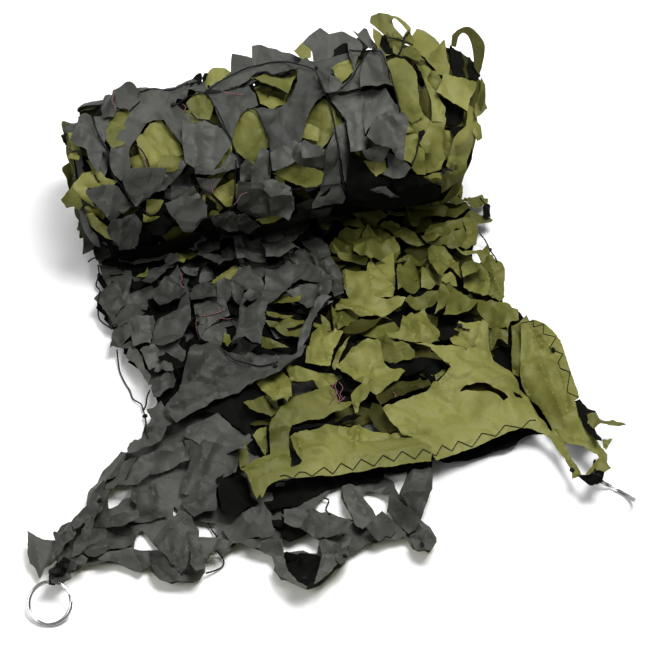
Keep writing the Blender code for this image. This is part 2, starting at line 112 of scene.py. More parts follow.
def linked(tree, kind, settings=(), **inputs):
    """A node with its settings made and its inputs set to values or to other sockets. An underscore stands
    for a space in an input's name, and i0, i1 and so on are inputs by number."""
    node = tree.nodes.new(kind)
    for key, value in dict(settings).items():
        setattr(node, key, value)
    for key, value in inputs.items():
        socket = node.inputs[int(key[1:]) if key[0] == "i" and key[1:].isdigit() else key.replace("_", " ")]
        if isinstance(value, bpy.types.NodeSocket):
            tree.links.new(value, socket)
        else:
            socket.default_value = value
    return node


def calculated(tree, operation, *values, kind="ShaderNodeMath"):
    """The result of a math node."""
    numbered = {f"i{k}": value for k, value in enumerate(values)}
    return linked(tree, kind, {"operation": operation}, **numbered).outputs[0]


def new_material(name, **values):
    """A material and its shader, with the shader's inputs set."""
    material = bpy.data.materials.new(name)
    material.use_nodes = True
    shader = material.node_tree.nodes["Principled BSDF"]
    for key, value in values.items():
        shader.inputs[key.replace("_", " ")].default_value = value
    return material, shader

# %% [markdown]
# The camera comes first, because the leaves are placed by where they show in the photograph. It stands
# 1.85 m from the net, looks down at 45 degrees and is turned 11 degrees from the roll's axis. The same
# numbers give the ray through any pixel, so a leaf can be laid on the surface that the ray meets.

# %% Camera
PHOTO_SIZE = 646.0  # pixels
CAMERA_TURN, CAMERA_TILT = math.radians(-11), math.radians(45)
CAMERA_DISTANCE, LENS, SENSOR = 1.85, 100.0, 36.0  # metres and two times millimetres
AIM = Vector((0.043, 0.0312, 0.0))
BACK = Vector((
    math.sin(CAMERA_TURN) * math.cos(CAMERA_TILT),
    -math.cos(CAMERA_TURN) * math.cos(CAMERA_TILT),
    math.sin(CAMERA_TILT),
))
camera_data = bpy.data.cameras.new("camera")
camera_data.lens, camera_data.sensor_width = LENS, SENSOR
camera = bpy.data.objects.new("camera", camera_data)
camera.location = AIM + BACK * CAMERA_DISTANCE
VIEW = BACK.to_track_quat("Z", "Y")
camera.rotation_euler = VIEW.to_euler()
bpy.context.scene.collection.objects.link(camera)
bpy.context.scene.camera = camera
EYE = np.array(camera.location) / MM
ACROSS, UPWARD = np.array(VIEW @ Vector((1, 0, 0))), np.array(VIEW @ Vector((0, 1, 0)))
AHEAD = -np.array(BACK)
FOCAL = PHOTO_SIZE * LENS / SENSOR


def sight(px, py):
    """The direction of the ray through a pixel of the photograph."""
    half = PHOTO_SIZE / 2
    way = AHEAD + ACROSS * (px - half) / FOCAL - UPWARD * (py - half) / FOCAL
    return way / np.linalg.norm(way)


print("focal length in pixels:", round(FOCAL))

# %% [markdown]
# Each solid carries a layer of cloth. A carrier turns the solid into a map of heights over two flat
# coordinates: along and round the roll, or x and y on the floor. Cloth that is laid on it is drawn flat,
# in millimetres, and then lifted to the map's height. The map also remembers what has been laid already,
# so that the next leaf lies on top of it and doesn't cut through.

# %% Carriers
CELL = 4.0  # millimetres between the points of a map
SIGHT_STEPS = np.linspace(1250.0, 2500.0, 1251)  # millimetres from the camera, along a ray
NEW_ROUND_FROM = -1.35  # radians round the roll from the viewer's side: below it the next turn begins


def blurred(grid, times):
    for _ in range(times):
        padded = np.pad(grid, 1, mode="edge")
        grid = (padded[:-2, 1:-1] + padded[2:, 1:-1] + padded[1:-1, :-2] + padded[1:-1, 2:] + 4 * grid) / 8
    return grid


def spread_max(grid):
    padded = np.pad(grid, 1, mode="edge")
    rows, columns = grid.shape
    shifts = [padded[i:i + rows, j:j + columns] for i in range(3) for j in range(3)]
    return np.maximum.reduce(shifts)


def fill_gaps(grid):
    """Cells that no ray hit take the mean of their neighbours, ring by ring."""
    while np.isnan(grid).any():
        padded = np.pad(grid, 1, constant_values=np.nan)
        rows, columns = grid.shape
        near = np.stack([padded[i:i + rows, j:j + columns] for i in range(3) for j in range(3)])
        known = ~np.isnan(near)
        count = known.sum(0)
        total = np.where(known, near, 0.0).sum(0)
        grid = np.where(np.isnan(grid) & (count > 0), total / np.maximum(count, 1), grid)
    return grid


class Carrier:
    """A map of heights in millimetres, with the cloth that has been laid on it."""

    def __init__(self, low, high):
        self.low = np.array(low)
        self.count = [int((h - l) / CELL) + 1 for l, h in zip(low, high)]
        self.laid = np.zeros(self.count)
        self.ground = np.zeros(self.count)

    def measure(self, hit, smooth):
        grid = np.full(self.count, np.nan)
        for i in range(self.count[0]):
            for j in range(self.count[1]):
                found = hit(self.low[0] + i * CELL, self.low[1] + j * CELL)
                if found is not None:
                    grid[i, j] = found
        self.ground = blurred(fill_gaps(grid), smooth)

    def read(self, grid, a, b):
        i = np.clip((np.asarray(a) - self.low[0]) / CELL, 0, self.count[0] - 1.001)
        j = np.clip((np.asarray(b) - self.low[1]) / CELL, 0, self.count[1] - 1.001)
        i0, j0 = i.astype(int), j.astype(int)
        s, t = i - i0, j - j0
        return (
            grid[i0, j0] * (1 - s) * (1 - t) + grid[i0 + 1, j0] * s * (1 - t)
            + grid[i0, j0 + 1] * (1 - s) * t + grid[i0 + 1, j0 + 1] * s * t
        )

    def land(self, px, py, lift=0.0):
        """Where the ray through a pixel meets the cloth laid so far: flat place and lift.
        A ray that passes over everything is met at its nearest point, with the lift that takes."""
        points = EYE + SIGHT_STEPS[:, None] * sight(px, py)
        a, b, height = self.flat(points)
        over = height - self.read(self.ground + self.laid, a, b) - lift
        under = np.nonzero(over < 0)[0]
        if not len(under) or under[0] == 0:
            k = int(over.argmin())
            return float(a[k]), float(b[k]), float(lift + over[k])
        k = under[0]
        share = over[k - 1] / (over[k - 1] - over[k])
        return float(a[k - 1] + (a[k] - a[k - 1]) * share), float(b[k - 1] + (b[k] - b[k - 1]) * share), lift

    def remember(self, a, b, height):
        i = np.clip(np.rint((a - self.low[0]) / CELL).astype(int), 0, self.count[0] - 1)
        j = np.clip(np.rint((b - self.low[1]) / CELL).astype(int), 0, self.count[1] - 1)
        new = np.zeros(self.count)
        np.maximum.at(new, (i, j), height)
        self.laid = np.maximum(self.laid, spread_max(new))


class FloorCarrier(Carrier):
    """Cloth that lies spread out: its flat coordinates are x and y."""

    def __init__(self, nodes, keep=(0.0, 99.0), margin=30.0, smooth=2):
        boxes = [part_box(node) for node in nodes]
        low = [min(box[0][k] for box in boxes) / MM - margin for k in (0, 1)]
        high = [max(box[1][k] for box in boxes) / MM + margin for k in (0, 1)]
        super().__init__(low, high)
        trees = [solid_tree(node) for node in nodes]

        def hit(x, y):
            found = [tree.ray_cast(Vector((x * MM, y * MM, 0.4)), Vector((0, 0, -1)))[0] for tree in trees]
            tops = [place.z / MM for place in found if place is not None]
            return max(tops) if tops and keep[0] < max(tops) < keep[1] else None

        self.measure(hit, smooth)

    def flat(self, points):
        return points[:, 0], points[:, 1], points[:, 2]

    def place(self, a, b, height):
        return np.stack([a, b, height], 1)


class RollCarrier(Carrier):
    """Cloth wound on the roll: its flat coordinates are x and the arc from the side facing the viewer."""

    ROUND = 80.0  # millimetres of arc for each radian
    TOP = 4.75  # radians to the last arc that the map holds
    END_INSET = 14.0  # millimetres: nearer the ends the map keeps the radius that it has there

    def __init__(self, node, ends=20.0, smooth=2):
        low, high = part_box(node)
        first, last = low[0] / MM + self.END_INSET, high[0] / MM - self.END_INSET
        super().__init__(
            (low[0] / MM - ends, NEW_ROUND_FROM * self.ROUND), (high[0] / MM + ends, self.TOP * self.ROUND)
        )
        tree = solid_tree(node)

        def hit(x, arc):
            angle = arc / self.ROUND
            way = Vector((0, math.cos(angle), -math.sin(angle)))
            x = min(max(x, first), last)
            middle = Vector((x * MM, AXIS_Y * MM, self.axis_z(x) * MM))
            found = tree.ray_cast(middle - way * 0.2, way)[0]
            return None if found is None else (found - middle).length / MM

        self.measure(hit, smooth)

    def axis_z(self, x):
        return AXIS_Z_LEFT + (AXIS_Z_RIGHT - AXIS_Z_LEFT) * (x - ROLL_LEFT) / (ROLL_RIGHT - ROLL_LEFT)

    def flat(self, points):
        up = points[:, 2] - self.axis_z(points[:, 0])
        out = AXIS_Y - points[:, 1]
        angle = np.arctan2(up, out)
        angle = np.where(angle < NEW_ROUND_FROM, angle + 2 * math.pi, angle)
        return points[:, 0], angle * self.ROUND, np.hypot(up, out)

    def place(self, a, b, height):
        angle = b / self.ROUND
        return np.stack([a, AXIS_Y - height * np.cos(angle), self.axis_z(a) + height * np.sin(angle)], 1)


def solid_tree(node):
    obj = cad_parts[node]
    mesh = obj.data
    points = [obj.matrix_world @ v.co for v in mesh.vertices]
    return BVHTree.FromPolygons(points, [tuple(p.vertices) for p in mesh.polygons])


ROLL_LEFT, ROLL_RIGHT, AXIS_Y = -197.0, 241.0, 206.2
AXIS_Z_LEFT, AXIS_Z_RIGHT = 70.4, 85.4
roll_ground = RollCarrier("roll")
LAYER_SPLIT = 6.0  # millimetres: the lower layer's top is below this height, and the flap's above it
lower_ground = FloorCarrier(["dark_layers"], keep=(0.0, LAYER_SPLIT))
flap_ground = FloorCarrier(["dark_layers"], keep=(LAYER_SPLIT, 99.0))
olive_ground = FloorCarrier(["olive_layer"])
print("roll radius:", roll_ground.ground.min().round(), "to", roll_ground.ground.max().round())

# %% [markdown]
# The cloth is thin, so a leaf is modelled as a single face with its outline cut true, and gets its
# thickness last. An outline is a short list of corners. A corner marked ROUND is passed in a curve, as the
# crescent cuts are. Each corner may be lifted off what lies under it, as stiff coated cloth stands up after
# it has been rolled, and the inside of the leaf hangs between its lifted edges.

# %% Cut a leaf
ROUND = True
GRAIN = 2.9  # millimetres between the points of a leaf
ROW_SHARE, WANDER_SHARE, EDGE_SHARE = 0.87, 0.12, 0.6  # of the grain: rows apart, wander, room at the edge


def cut_outline(corners, grain=GRAIN):
    """Points along the cut edge: flat place and lift, at about the grain's distance."""
    rows = [np.array(corner[:3], float) for corner in corners]
    bends = [len(corner) > 3 for corner in corners]
    points = []
    for i, here in enumerate(rows):
        there = rows[(i + 1) % len(rows)]
        leave = (there - rows[i - 1]) / 2 if bends[i] else there - here
        arrive = (rows[(i + 2) % len(rows)] - here) / 2 if bends[(i + 1) % len(rows)] else there - here
        steps = max(1, round(np.linalg.norm((there - here)[:2]) / grain))
        for t in np.arange(steps) / steps:
            points.append(
                here * (2 * t**3 - 3 * t**2 + 1) + leave * (t**3 - 2 * t**2 + t)
                + there * (3 * t**2 - 2 * t**3) + arrive * (t**3 - t**2)
            )
    return np.array(points)


def within(points, outline):
    """Which points lie inside a closed outline."""
    x, y = points[:, 0][:, None], points[:, 1][:, None]
    x0, y0 = outline[:, 0], outline[:, 1]
    x1, y1 = np.roll(x0, -1), np.roll(y0, -1)
    crosses = (y0 > y) != (y1 > y)
    slope = (x1 - x0) / np.where(y1 == y0, 1e-9, y1 - y0)
    return (crosses & (x < x0 + slope * (y - y0))).sum(1) % 2 == 1


def on_cloth(points, rim, holes):
    kept = within(points, rim)
    for hole in holes:
        kept &= ~within(points, hole)
    return kept


def flat_leaf(rim, holes, grain, chance):
    """Points and triangles of a cut outline. The lift is known at its edges only, and NaN inside."""
    low, high = rim[:, :2].min(0), rim[:, :2].max(0)
    rows = np.arange(low[1], high[1], grain * ROW_SHARE)
    wander = WANDER_SHARE * grain
    inner = np.array([
        (x + (k % 2) * grain / 2 + chance.uniform(-wander, wander), y + chance.uniform(-wander, wander))
        for k, y in enumerate(rows) for x in np.arange(low[0], high[0], grain)
    ]).reshape(-1, 2)
    inner = inner[on_cloth(inner, rim, holes)]
    rings = [rim, *holes]
    cut = np.concatenate(rings)
    inner = inner[np.linalg.norm(inner[:, None] - cut[None, :, :2], axis=2).min(1) > grain * EDGE_SHARE]
    flat = [Vector(p) for p in cut[:, :2]] + [Vector(p) for p in inner]
    edges, first = [], 0
    for ring in rings:
        edges += [(first + i, first + (i + 1) % len(ring)) for i in range(len(ring))]
        first += len(ring)
    found, _, faces, origin = geometry.delaunay_2d_cdt(flat, edges, [], 0, 1e-4, True)[:4]
    found = np.array(found)
    faces = np.array([tuple(face) for face in faces])
    faces = faces[on_cloth(found[faces].mean(1), rim, holes)]
    lifts = np.full(len(found), np.nan)
    for i, sources in enumerate(origin):
        on_edge = [s for s in sources if s < len(cut)]
        if on_edge:
            lifts[i] = cut[on_edge[0], 2]
    used = np.unique(faces)
    number = np.zeros(len(found), int)
    number[used] = np.arange(len(used))
    return found[used], number[faces], lifts[used]


def links(faces):
    pairs = np.concatenate([faces[:, [k, (k + 1) % 3]] for k in range(3)])
    return np.unique(np.concatenate([pairs, pairs[:, ::-1]]), axis=0)


def mean_of_neighbours(values, pairs):
    total = np.bincount(pairs[:, 0], weights=values[pairs[:, 1]], minlength=len(values))
    return total / np.maximum(np.bincount(pairs[:, 0], minlength=len(values)), 1)


def hang_between(flat, lifts, pairs):
    """The height of the cloth between its lifted edges, and a dome that is 1 at its highest."""
    edge = ~np.isnan(lifts)
    if edge.all():
        return lifts, np.zeros(len(lifts))
    gap = np.linalg.norm(flat[:, None] - flat[edge][None], axis=2)
    pull = 1 / (gap + 0.5) ** 3
    lifts = np.where(edge, lifts, pull @ lifts[edge] / pull.sum(1))
    for _ in range(12):
        lifts = np.where(edge, lifts, mean_of_neighbours(lifts, pairs))
    depth = gap.min(1)
    return lifts, 1 - (1 - depth / depth.max()) ** 2


# %% [markdown]
# What makes coated cloth read as cloth is that it keeps its folds. A leaf leans, bends along a crisp line and
# curls up at one side. The long creases that show in the photograph are listed, and where a net knot gathers
# the cloth, small pleats fan out from it.

# %% Folds, creases and pleats
FOLDS_LEVEL_AT = 24.0  # millimetres: the folds of one leaf come near this height and don't pass it
FULLY_FOLDED = 34.0  # millimetres: a leaf smaller than this has lower folds
BENDS_FROM, CURLS_FROM, RIDGES_FROM = 14, 22, 40  # millimetres: the sizes of leaf that have each kind of fold
FOLD_BOW = 0.006  # how far the line of a fold bows, for each square millimetre to the side
CURL_LIMIT = 1.3  # a curl gets no higher past this many widths
CREASE_HEIGHT, CREASE_FADE = 2.5, 6.0  # how much a placed crease is raised, and its fade past an end
PLEAT_REACH, PLEAT_HEIGHT, PLEAT_START, PLEAT_FADE = 14.0, 1.2, 6.0, 16.0  # millimetres from a knot


def own_folds(spots, chance, amount):
    """The lean, bends and curl of one leaf, as a function of flat places. It is 0 at the lowest corner.
    Each part has its kind, its direction, where it starts from the middle, its rise and its width."""
    middle = spots.mean(0)
    size = float(np.ptp(spots, axis=0).max())
    share = amount * min(1.0, size / FULLY_FOLDED)
    parts = [("lean", chance.uniform(0, 6.3), 0.0, chance.uniform(2.0, 7.0) * share, size)]
    if size > BENDS_FROM:
        parts.append(("bend", chance.uniform(0, 6.3), chance.uniform(-0.2, 0.2) * size,
                      chance.choice((-1, 1)) * chance.uniform(3.0, 7.0) * share,
                      chance.uniform(0.15, 0.32) * size))
    if size > CURLS_FROM:
        parts.append(("ridge", chance.uniform(0, 6.3), chance.uniform(-0.25, 0.25) * size,
                      chance.choice((-1, 1, 1)) * chance.uniform(1.8, 3.6) * share, chance.uniform(2.5, 6.0)))
        parts.append(("curl", chance.uniform(0, 6.3), 0.12 * size, chance.uniform(2.0, 7.0) * share,
                      0.38 * size))
    if size > RIDGES_FROM:
        parts.append(("ridge", chance.uniform(0, 6.3), chance.uniform(-0.3, 0.3) * size,
                      chance.choice((-1, 1)) * chance.uniform(1.2, 2.4) * share, chance.uniform(2.5, 7.0)))

    def height(flat):
        total = np.zeros(len(flat))
        for kind, turn, start, rise, width in parts:
            rel = flat - middle
            off = rel @ np.array([math.cos(turn), math.sin(turn)]) - start
            off = off + FOLD_BOW * (rel @ np.array([-math.sin(turn), math.cos(turn)])) ** 2
            ahead = np.maximum(off, 0.0)
            total += {
                "lean": rise * off / width,
                "bend": rise * (1 - np.exp(-ahead / width)),
                "ridge": rise * np.exp(-np.abs(off) / width),
                "curl": rise * np.minimum(ahead / width, CURL_LIMIT) ** 2,
            }[kind]
        return total

    lowest = height(spots).min()
    level = FOLDS_LEVEL_AT
    return lambda flat: level * (1 - np.exp(-np.maximum(height(flat) - lowest, 0.0) / level))


CRUMPLE_PITCH, CRUMPLE_SLOPE = 21.0, 0.14  # millimetres from peak to peak, and how steep the facets are
CRUMPLE_WANDER = 0.45  # how far a peak moves, as a share of the pitch


def crumpled(flat, seed):
    """Flat facets with crisp edges between them, as thin coated cloth keeps after it has been crushed."""
    chance = random.Random(seed)
    pitch, wander = CRUMPLE_PITCH, CRUMPLE_WANDER
    low, high = flat.min(0) - pitch, flat.max(0) + pitch
    peaks = np.array([
        (x + chance.uniform(-wander, wander) * pitch, y + chance.uniform(-wander, wander) * pitch)
        for x in np.arange(low[0], high[0], pitch) for y in np.arange(low[1], high[1], pitch)
    ])
    away = np.sort(np.linalg.norm(flat[:, None] - peaks[None], axis=2), axis=1)
    return CRUMPLE_SLOPE * (away[:, 1] - away[:, 0])


def placed_creases(flat, rows):
    """Creases from the photograph: flat ends, height and width of each. They fade at both ends."""
    total = np.zeros(len(flat))
    for start, end, rise, width in rows:
        length = np.linalg.norm(end - start)
        way = (end - start) / length
        rel = flat - start
        along = rel @ way
        off = rel @ np.array([-way[1], way[0]])
        beyond = np.maximum(np.maximum(-along, along - length), 0.0)
        total += CREASE_HEIGHT * rise * np.exp(-np.abs(off) / width - (beyond / CREASE_FADE) ** 2)
    return total


def pleats(flat, knots, chance):
    total = np.zeros(len(flat))
    for knot in knots:
        rel = flat - knot
        distance = np.hypot(rel[:, 0], rel[:, 1])
        if distance.min() > PLEAT_REACH:
            continue
        angle = np.arctan2(rel[:, 1], rel[:, 0])
        fan = np.cos(angle * chance.choice((7, 9, 11)) + chance.uniform(0, 6))
        total += fan * PLEAT_HEIGHT * np.minimum(distance / PLEAT_START, 1) * np.exp(-distance / PLEAT_FADE)
    return total


# %% [markdown]
# A piece of cloth collects its leaves and becomes one mesh. Each new leaf rests on those laid before it, and
# its cut edge is landed again once its folds are known, so that it still shows where the photograph has it.
# Every leaf keeps its own flat coordinates and its own tone, which the finishes read.

# %% Cloth pieces
LOWEST = 0.8  # millimetres from the floor to the lowest cloth
STANDS_UP = 13.0  # millimetres: a leaf with a higher corner than this stands up, and isn't folded again
LANDED_FAR = 14.0  # millimetres: a corner that its fold moves further than this keeps its place
LEAF_GAP, EDGE_WANDER = 0.7, 0.35  # millimetres from leaf to leaf, and that a cut edge wanders
RESTING_PASSES = 5  # how widely a leaf spreads its weight over what lies under it
FLOOR_RELIEF, RELIEF_TOP = 0.25, 4.0  # the share of its height that a leaf keeps on the floor, and the most
FIFTH_TURN = 1.26  # radians
# The black and shade sides are painted shade: near-black charcoal and darkened olive on leaves that lie in
# shade.
SIDES = {"dark": 0, "olive": 1, "black": 3, "shade": 5}  # where a leaf's upper face is in BOTH_FACES


class Cloth:
    """Collects leaves into one piece."""

    def __init__(self, name, carrier, seed, knots=(), creases=()):
        self.name, self.carrier, self.chance = name, carrier, random.Random(seed)
        self.knots = [self.seen(*knot) for knot in knots]
        self.creases = [(self.seen(*row[:2]), self.seen(*row[2:4]), *row[4:]) for row in creases]
        self.points, self.faces, self.sides, self.flats, self.tones = [], [], [], [], []
        self.count = 0

    def seen(self, px, py):
        return np.array(self.carrier.land(px, py)[:2])

    def leaf(self, side, corners, holes=(), folds=None, belly=1.0, press=2.5, grain=GRAIN, sink=0.0):
        """Lays a leaf whose corners are (a, b, lift) in the carrier's flat millimetres. A sunk one lies
        that far under the others, and they don't rest on it."""
        chance = self.chance
        rim = cut_outline(corners, grain)
        rim[:, :2] += np.array([[chance.uniform(-EDGE_WANDER, EDGE_WANDER) for _ in range(2)] for _ in rim])
        flat, faces, lifts = flat_leaf(rim, [cut_outline(hole, grain) for hole in holes], grain, chance)
        pairs = links(faces)
        lifts, dome = hang_between(flat, lifts, pairs)
        a, b = flat[:, 0], flat[:, 1]
        laid = self.carrier.read(self.carrier.laid, a, b)
        resting = laid
        for _ in range(RESTING_PASSES):
            resting = np.maximum(laid, mean_of_neighbours(resting, pairs))
        rise = lifts + dome * belly * chance.uniform(0.2, 1.3)
        rise += folds(flat) if folds else 0.0
        rise += placed_creases(flat, self.creases) + pleats(flat, self.knots, chance)
        rise += crumpled(flat, self.count)
        rise = np.maximum(rise, 0.0) + LEAF_GAP
        if not sink:
            self.carrier.remember(a, b, resting + np.minimum(rise, press))
        height = self.carrier.read(self.carrier.ground, a, b) + (rise - sink if sink else resting + rise)
        placed = self.carrier.place(a, b, height)
        placed[:, 2] = np.maximum(placed[:, 2], LOWEST + FLOOR_RELIEF * np.minimum(rise, RELIEF_TOP))
        self.keep(side, placed, flat, faces)

    def keep(self, side, placed, flat, faces):
        """Adds a placed leaf, with its own flat coordinates for the weave and its own tone."""
        chance = self.chance
        self.points.append(placed)
        self.faces.append(faces + self.count)
        self.count += len(flat)
        self.sides.append(np.full(len(faces), SIDES[side]))
        turn = chance.uniform(0, math.pi)
        spin = np.array([[math.cos(turn), -math.sin(turn)], [math.sin(turn), math.cos(turn)]])
        self.flats.append(flat @ spin + chance.uniform(0, 100))
        self.tones.append(np.full(len(flat), chance.uniform(0, 1)))

    def standing(self, side, root, corners, lean=0.35, amount=0.8):
        """A leaf that stands up from the cloth at its root: it is drawn in a plane that faces the viewer."""
        a, b, _ = self.carrier.land(*root)
        spot = np.array([a]), np.array([b])
        foot = self.carrier.place(*spot, self.carrier.read(self.carrier.ground + self.carrier.laid, *spot))[0]
        normal = UPWARD * math.sin(lean) - AHEAD * math.cos(lean)
        along = np.cross(normal, ACROSS)
        rim = []
        for px, py, *bend in corners:
            way = sight(px, py)
            off = EYE + way * (((foot - EYE) @ normal) / (way @ normal)) - foot
            rim.append((off @ ACROSS, off @ along, 0.0, *bend))
        rim_points = cut_outline(rim)
        flat, faces, lifts = flat_leaf(rim_points, [], GRAIN, self.chance)
        rise = own_folds(rim_points[:, :2], self.chance, amount)(flat)
        placed = foot + flat[:, :1] * ACROSS + flat[:, 1:] * along + rise[:, None] * normal
        self.keep(side, placed, flat, faces)

    def landed(self, corners, lift):
        """Photograph corners, (px, py), (px, py, lift) or (px, py, lift, ROUND), on the cloth laid so far."""
        found = []
        for corner in corners:
            a, b, up = self.carrier.land(corner[0], corner[1], corner[2] if len(corner) > 2 else lift)
            found.append((a, b, up, ROUND) if len(corner) > 3 else (a, b, up))
        return found

    def leaves(self, rows, amount=1.0, **options):
        """Lays each leaf of a table: (side, lift, corners), and then its holes where it has any. A folded
        leaf is landed again with its folds, so that its outline still shows where the photograph has it."""
        for side, lift, corners, *holes in rows:
            rim = self.landed(corners, lift)
            upright = max(corner[2] for corner in rim) > STANDS_UP
            spots = np.array([corner[:2] for corner in rim])
            folds = None if upright or not amount else own_folds(spots, self.chance, amount)
            for _ in range(2 if folds else 0):
                again = np.array([self.carrier.land(px[0], px[1], corner[2] + up)[:2]
                                  for px, corner, up in zip(corners, rim, folds(spots))])
                near = np.linalg.norm(again - spots, axis=1) < LANDED_FAR
                spots = np.where(near[:, None], again, spots)
            rim = [(*spot, *corner[2:]) for spot, corner in zip(spots.tolist(), rim)]
            cut = [self.landed(hole, lift) for hole in holes]
            self.leaf(side, rim, holes=cut, folds=folds, **options)

    def fill_under(self, outline, sides, pitch, sink, seed):
        """Small leaves deep in the cloth, wherever the photograph's outline shows it; most of the sides given
        to them are painted shade.
        """
        chance = random.Random(seed)
        border = np.array(outline, float)
        low, high = border.min(0), border.max(0)
        for row, py in enumerate(np.arange(low[1], high[1], pitch * 0.8)):
            for px in np.arange(low[0] + (row % 2) * pitch / 2, high[0], pitch):
                spot = np.array([[px + chance.uniform(-4, 4), py + chance.uniform(-3, 3)]])
                if not within(spot, border)[0]:
                    continue
                turn, size = chance.uniform(0, 6.3), pitch * chance.uniform(0.75, 1.15)
                corners = [
                    (spot[0, 0] + size * chance.uniform(0.7, 1.1) * math.cos(turn + k * FIFTH_TURN),
                     spot[0, 1] + 0.75 * size * chance.uniform(0.6, 1.1) * math.sin(turn + k * FIFTH_TURN))
                    for k in range(5)
                ]
                self.leaves(((chance.choice(sides), 0, corners),), grain=5.0, sink=chance.uniform(*sink))

    def make(self):
        """The piece as a plain mesh, and its area in square metres."""
        obj = new_object(self.name, np.concatenate(self.points), faces=np.concatenate(self.faces).tolist())
        mesh = obj.data
        for material in BOTH_FACES:
            mesh.materials.append(material)
        mesh.polygons.foreach_set("material_index", np.concatenate(self.sides).astype(np.int32))
        mesh.shade_smooth()
        flats = np.concatenate(self.flats) * MM
        loops = np.array([loop.vertex_index for loop in mesh.loops])
        mesh.uv_layers.new(name="cloth").data.foreach_set("uv", flats[loops].ravel())
        mesh.attributes.new("tone", "FLOAT", "POINT").data.foreach_set("value", np.concatenate(self.tones))
        area = sum(polygon.area for polygon in mesh.polygons)
        thicken(obj)
        plain(obj)
        print(f"{self.name}: {len(self.points)} leaves, {len(obj.data.polygons)} faces, {area * 1e4:.0f} cm2")
        return obj, area


# %% [markdown]
# Finishes. The cloth has a fine plain weave under its coating, a soft sheen and small wrinkles, and each
# leaf has its own slight tone. Weave and wrinkles are shader groups, so the charcoal and the olive face
# share them with their own values.

# %% Shader groups
def weave_group():
    """A plain weave, as a height over the cloth's own flat coordinates."""
    group, start, end = new_group("weave", [("Vector", "Vector", None), ("Threads", "Float", 2200.0)],
                                  [("Height", "Float")])
    scaled = linked(group, "ShaderNodeVectorMath", {"operation": "SCALE"}, i0=start.outputs["Vector"],
                    Scale=start.outputs["Threads"])
    apart = linked(group, "ShaderNodeSeparateXYZ", i0=scaled.outputs[0])
    warp, weft = (calculated(group, "SINE", apart.outputs[axis]) for axis in "XY")
    group.links.new(calculated(group, "MULTIPLY", warp, weft), end.inputs["Height"])
    return group


def wrinkle_group():
    """Small wrinkles of coated cloth: facets with crisp edges, smaller creases in patches, and soft noise."""
    group, start, end = new_group("wrinkles", [("Vector", "Vector", None), ("Scale", "Float", 60.0)],
                                  [("Height", "Float")])
    place, scale = start.outputs["Vector"], start.outputs["Scale"]
    soft = linked(group, "ShaderNodeTexNoise", Vector=place, Scale=scale, Detail=3.0)
    pushed = calculated(group, "MULTIPLY_ADD", soft.outputs["Color"], (0.02, 0.02, 0.02), place,
                        kind="ShaderNodeVectorMath")
    facets, creases = (
        linked(group, "ShaderNodeTexVoronoi", {"feature": "DISTANCE_TO_EDGE"}, Vector=pushed, Scale=fineness)
        for fineness in (scale, calculated(group, "MULTIPLY", scale, 2.7))
    )
    patches = linked(group, "ShaderNodeTexNoise", Vector=place, Scale=14.0, Detail=0.0)
    visible = linked(group, "ShaderNodeMapRange", Value=patches.outputs["Fac"], From_Min=0.42, From_Max=0.62,
                     To_Min=0.0, To_Max=0.22)
    small = calculated(group, "MULTIPLY", creases.outputs["Distance"], visible.outputs[0])
    both = calculated(group, "ADD", facets.outputs["Distance"], small)
    group.links.new(calculated(group, "MULTIPLY_ADD", soft.outputs["Fac"], 0.5, both), end.inputs["Height"])
    return group


WEAVE, WRINKLES = weave_group(), wrinkle_group()


# %% Cloth finish
GREY_SHEEN, GREEN_SHEEN = (0.9, 0.95, 0.9), (0.9, 0.95, 0.6)
TONE_STOPS = (0.35, 0.7, 1.05)  # where a leaf is at its deepest, middle and brightest tone
WRINKLE_SCALE = 30.0


def cloth_finish(name, tones, roughness, sheen, tint, specular=0.3):
    """Coated cloth: its tone changes from leaf to leaf and in soft clouds over each leaf."""
    material, shader = new_material(
        name, Roughness=roughness, Sheen_Weight=sheen, Sheen_Roughness=0.4, Sheen_Tint=(*tint, 1),
        Specular_IOR_Level=specular,
    )
    tree = material.node_tree
    flat = linked(tree, "ShaderNodeUVMap", {"uv_map": "cloth"}).outputs["UV"]
    place = linked(tree, "ShaderNodeTexCoord").outputs["Object"]
    tone = linked(tree, "ShaderNodeAttribute", {"attribute_name": "tone"}).outputs["Fac"]
    clouds = linked(tree, "ShaderNodeTexNoise", Vector=place, Scale=18.0, Detail=2.0).outputs["Fac"]
    ramp = linked(tree, "ShaderNodeValToRGB", i0=calculated(tree, "MULTIPLY_ADD", tone, 0.45, clouds))
    stops = ramp.color_ramp.elements
    stops[0].position, stops[1].position = TONE_STOPS[0], TONE_STOPS[2]
    stops.new(TONE_STOPS[1])
    for stop, colour in zip(sorted(stops, key=lambda stop: stop.position), tones):
        stop.color = (*colour, 1)
    tree.links.new(ramp.outputs["Color"], shader.inputs["Base Color"])
    weave = linked(tree, "ShaderNodeGroup", {"node_tree": WEAVE}, Vector=flat)
    wrinkle = linked(tree, "ShaderNodeGroup", {"node_tree": WRINKLES}, Vector=place, Scale=WRINKLE_SCALE)
    soft = linked(tree, "ShaderNodeBump", Height=wrinkle.outputs["Height"], Strength=0.55, Distance=0.0075)
    fine = linked(tree, "ShaderNodeBump", Height=weave.outputs["Height"], Strength=0.15, Distance=0.0002,
                  Normal=soft.outputs["Normal"])
    tree.links.new(fine.outputs["Normal"], shader.inputs["Normal"])
    return material


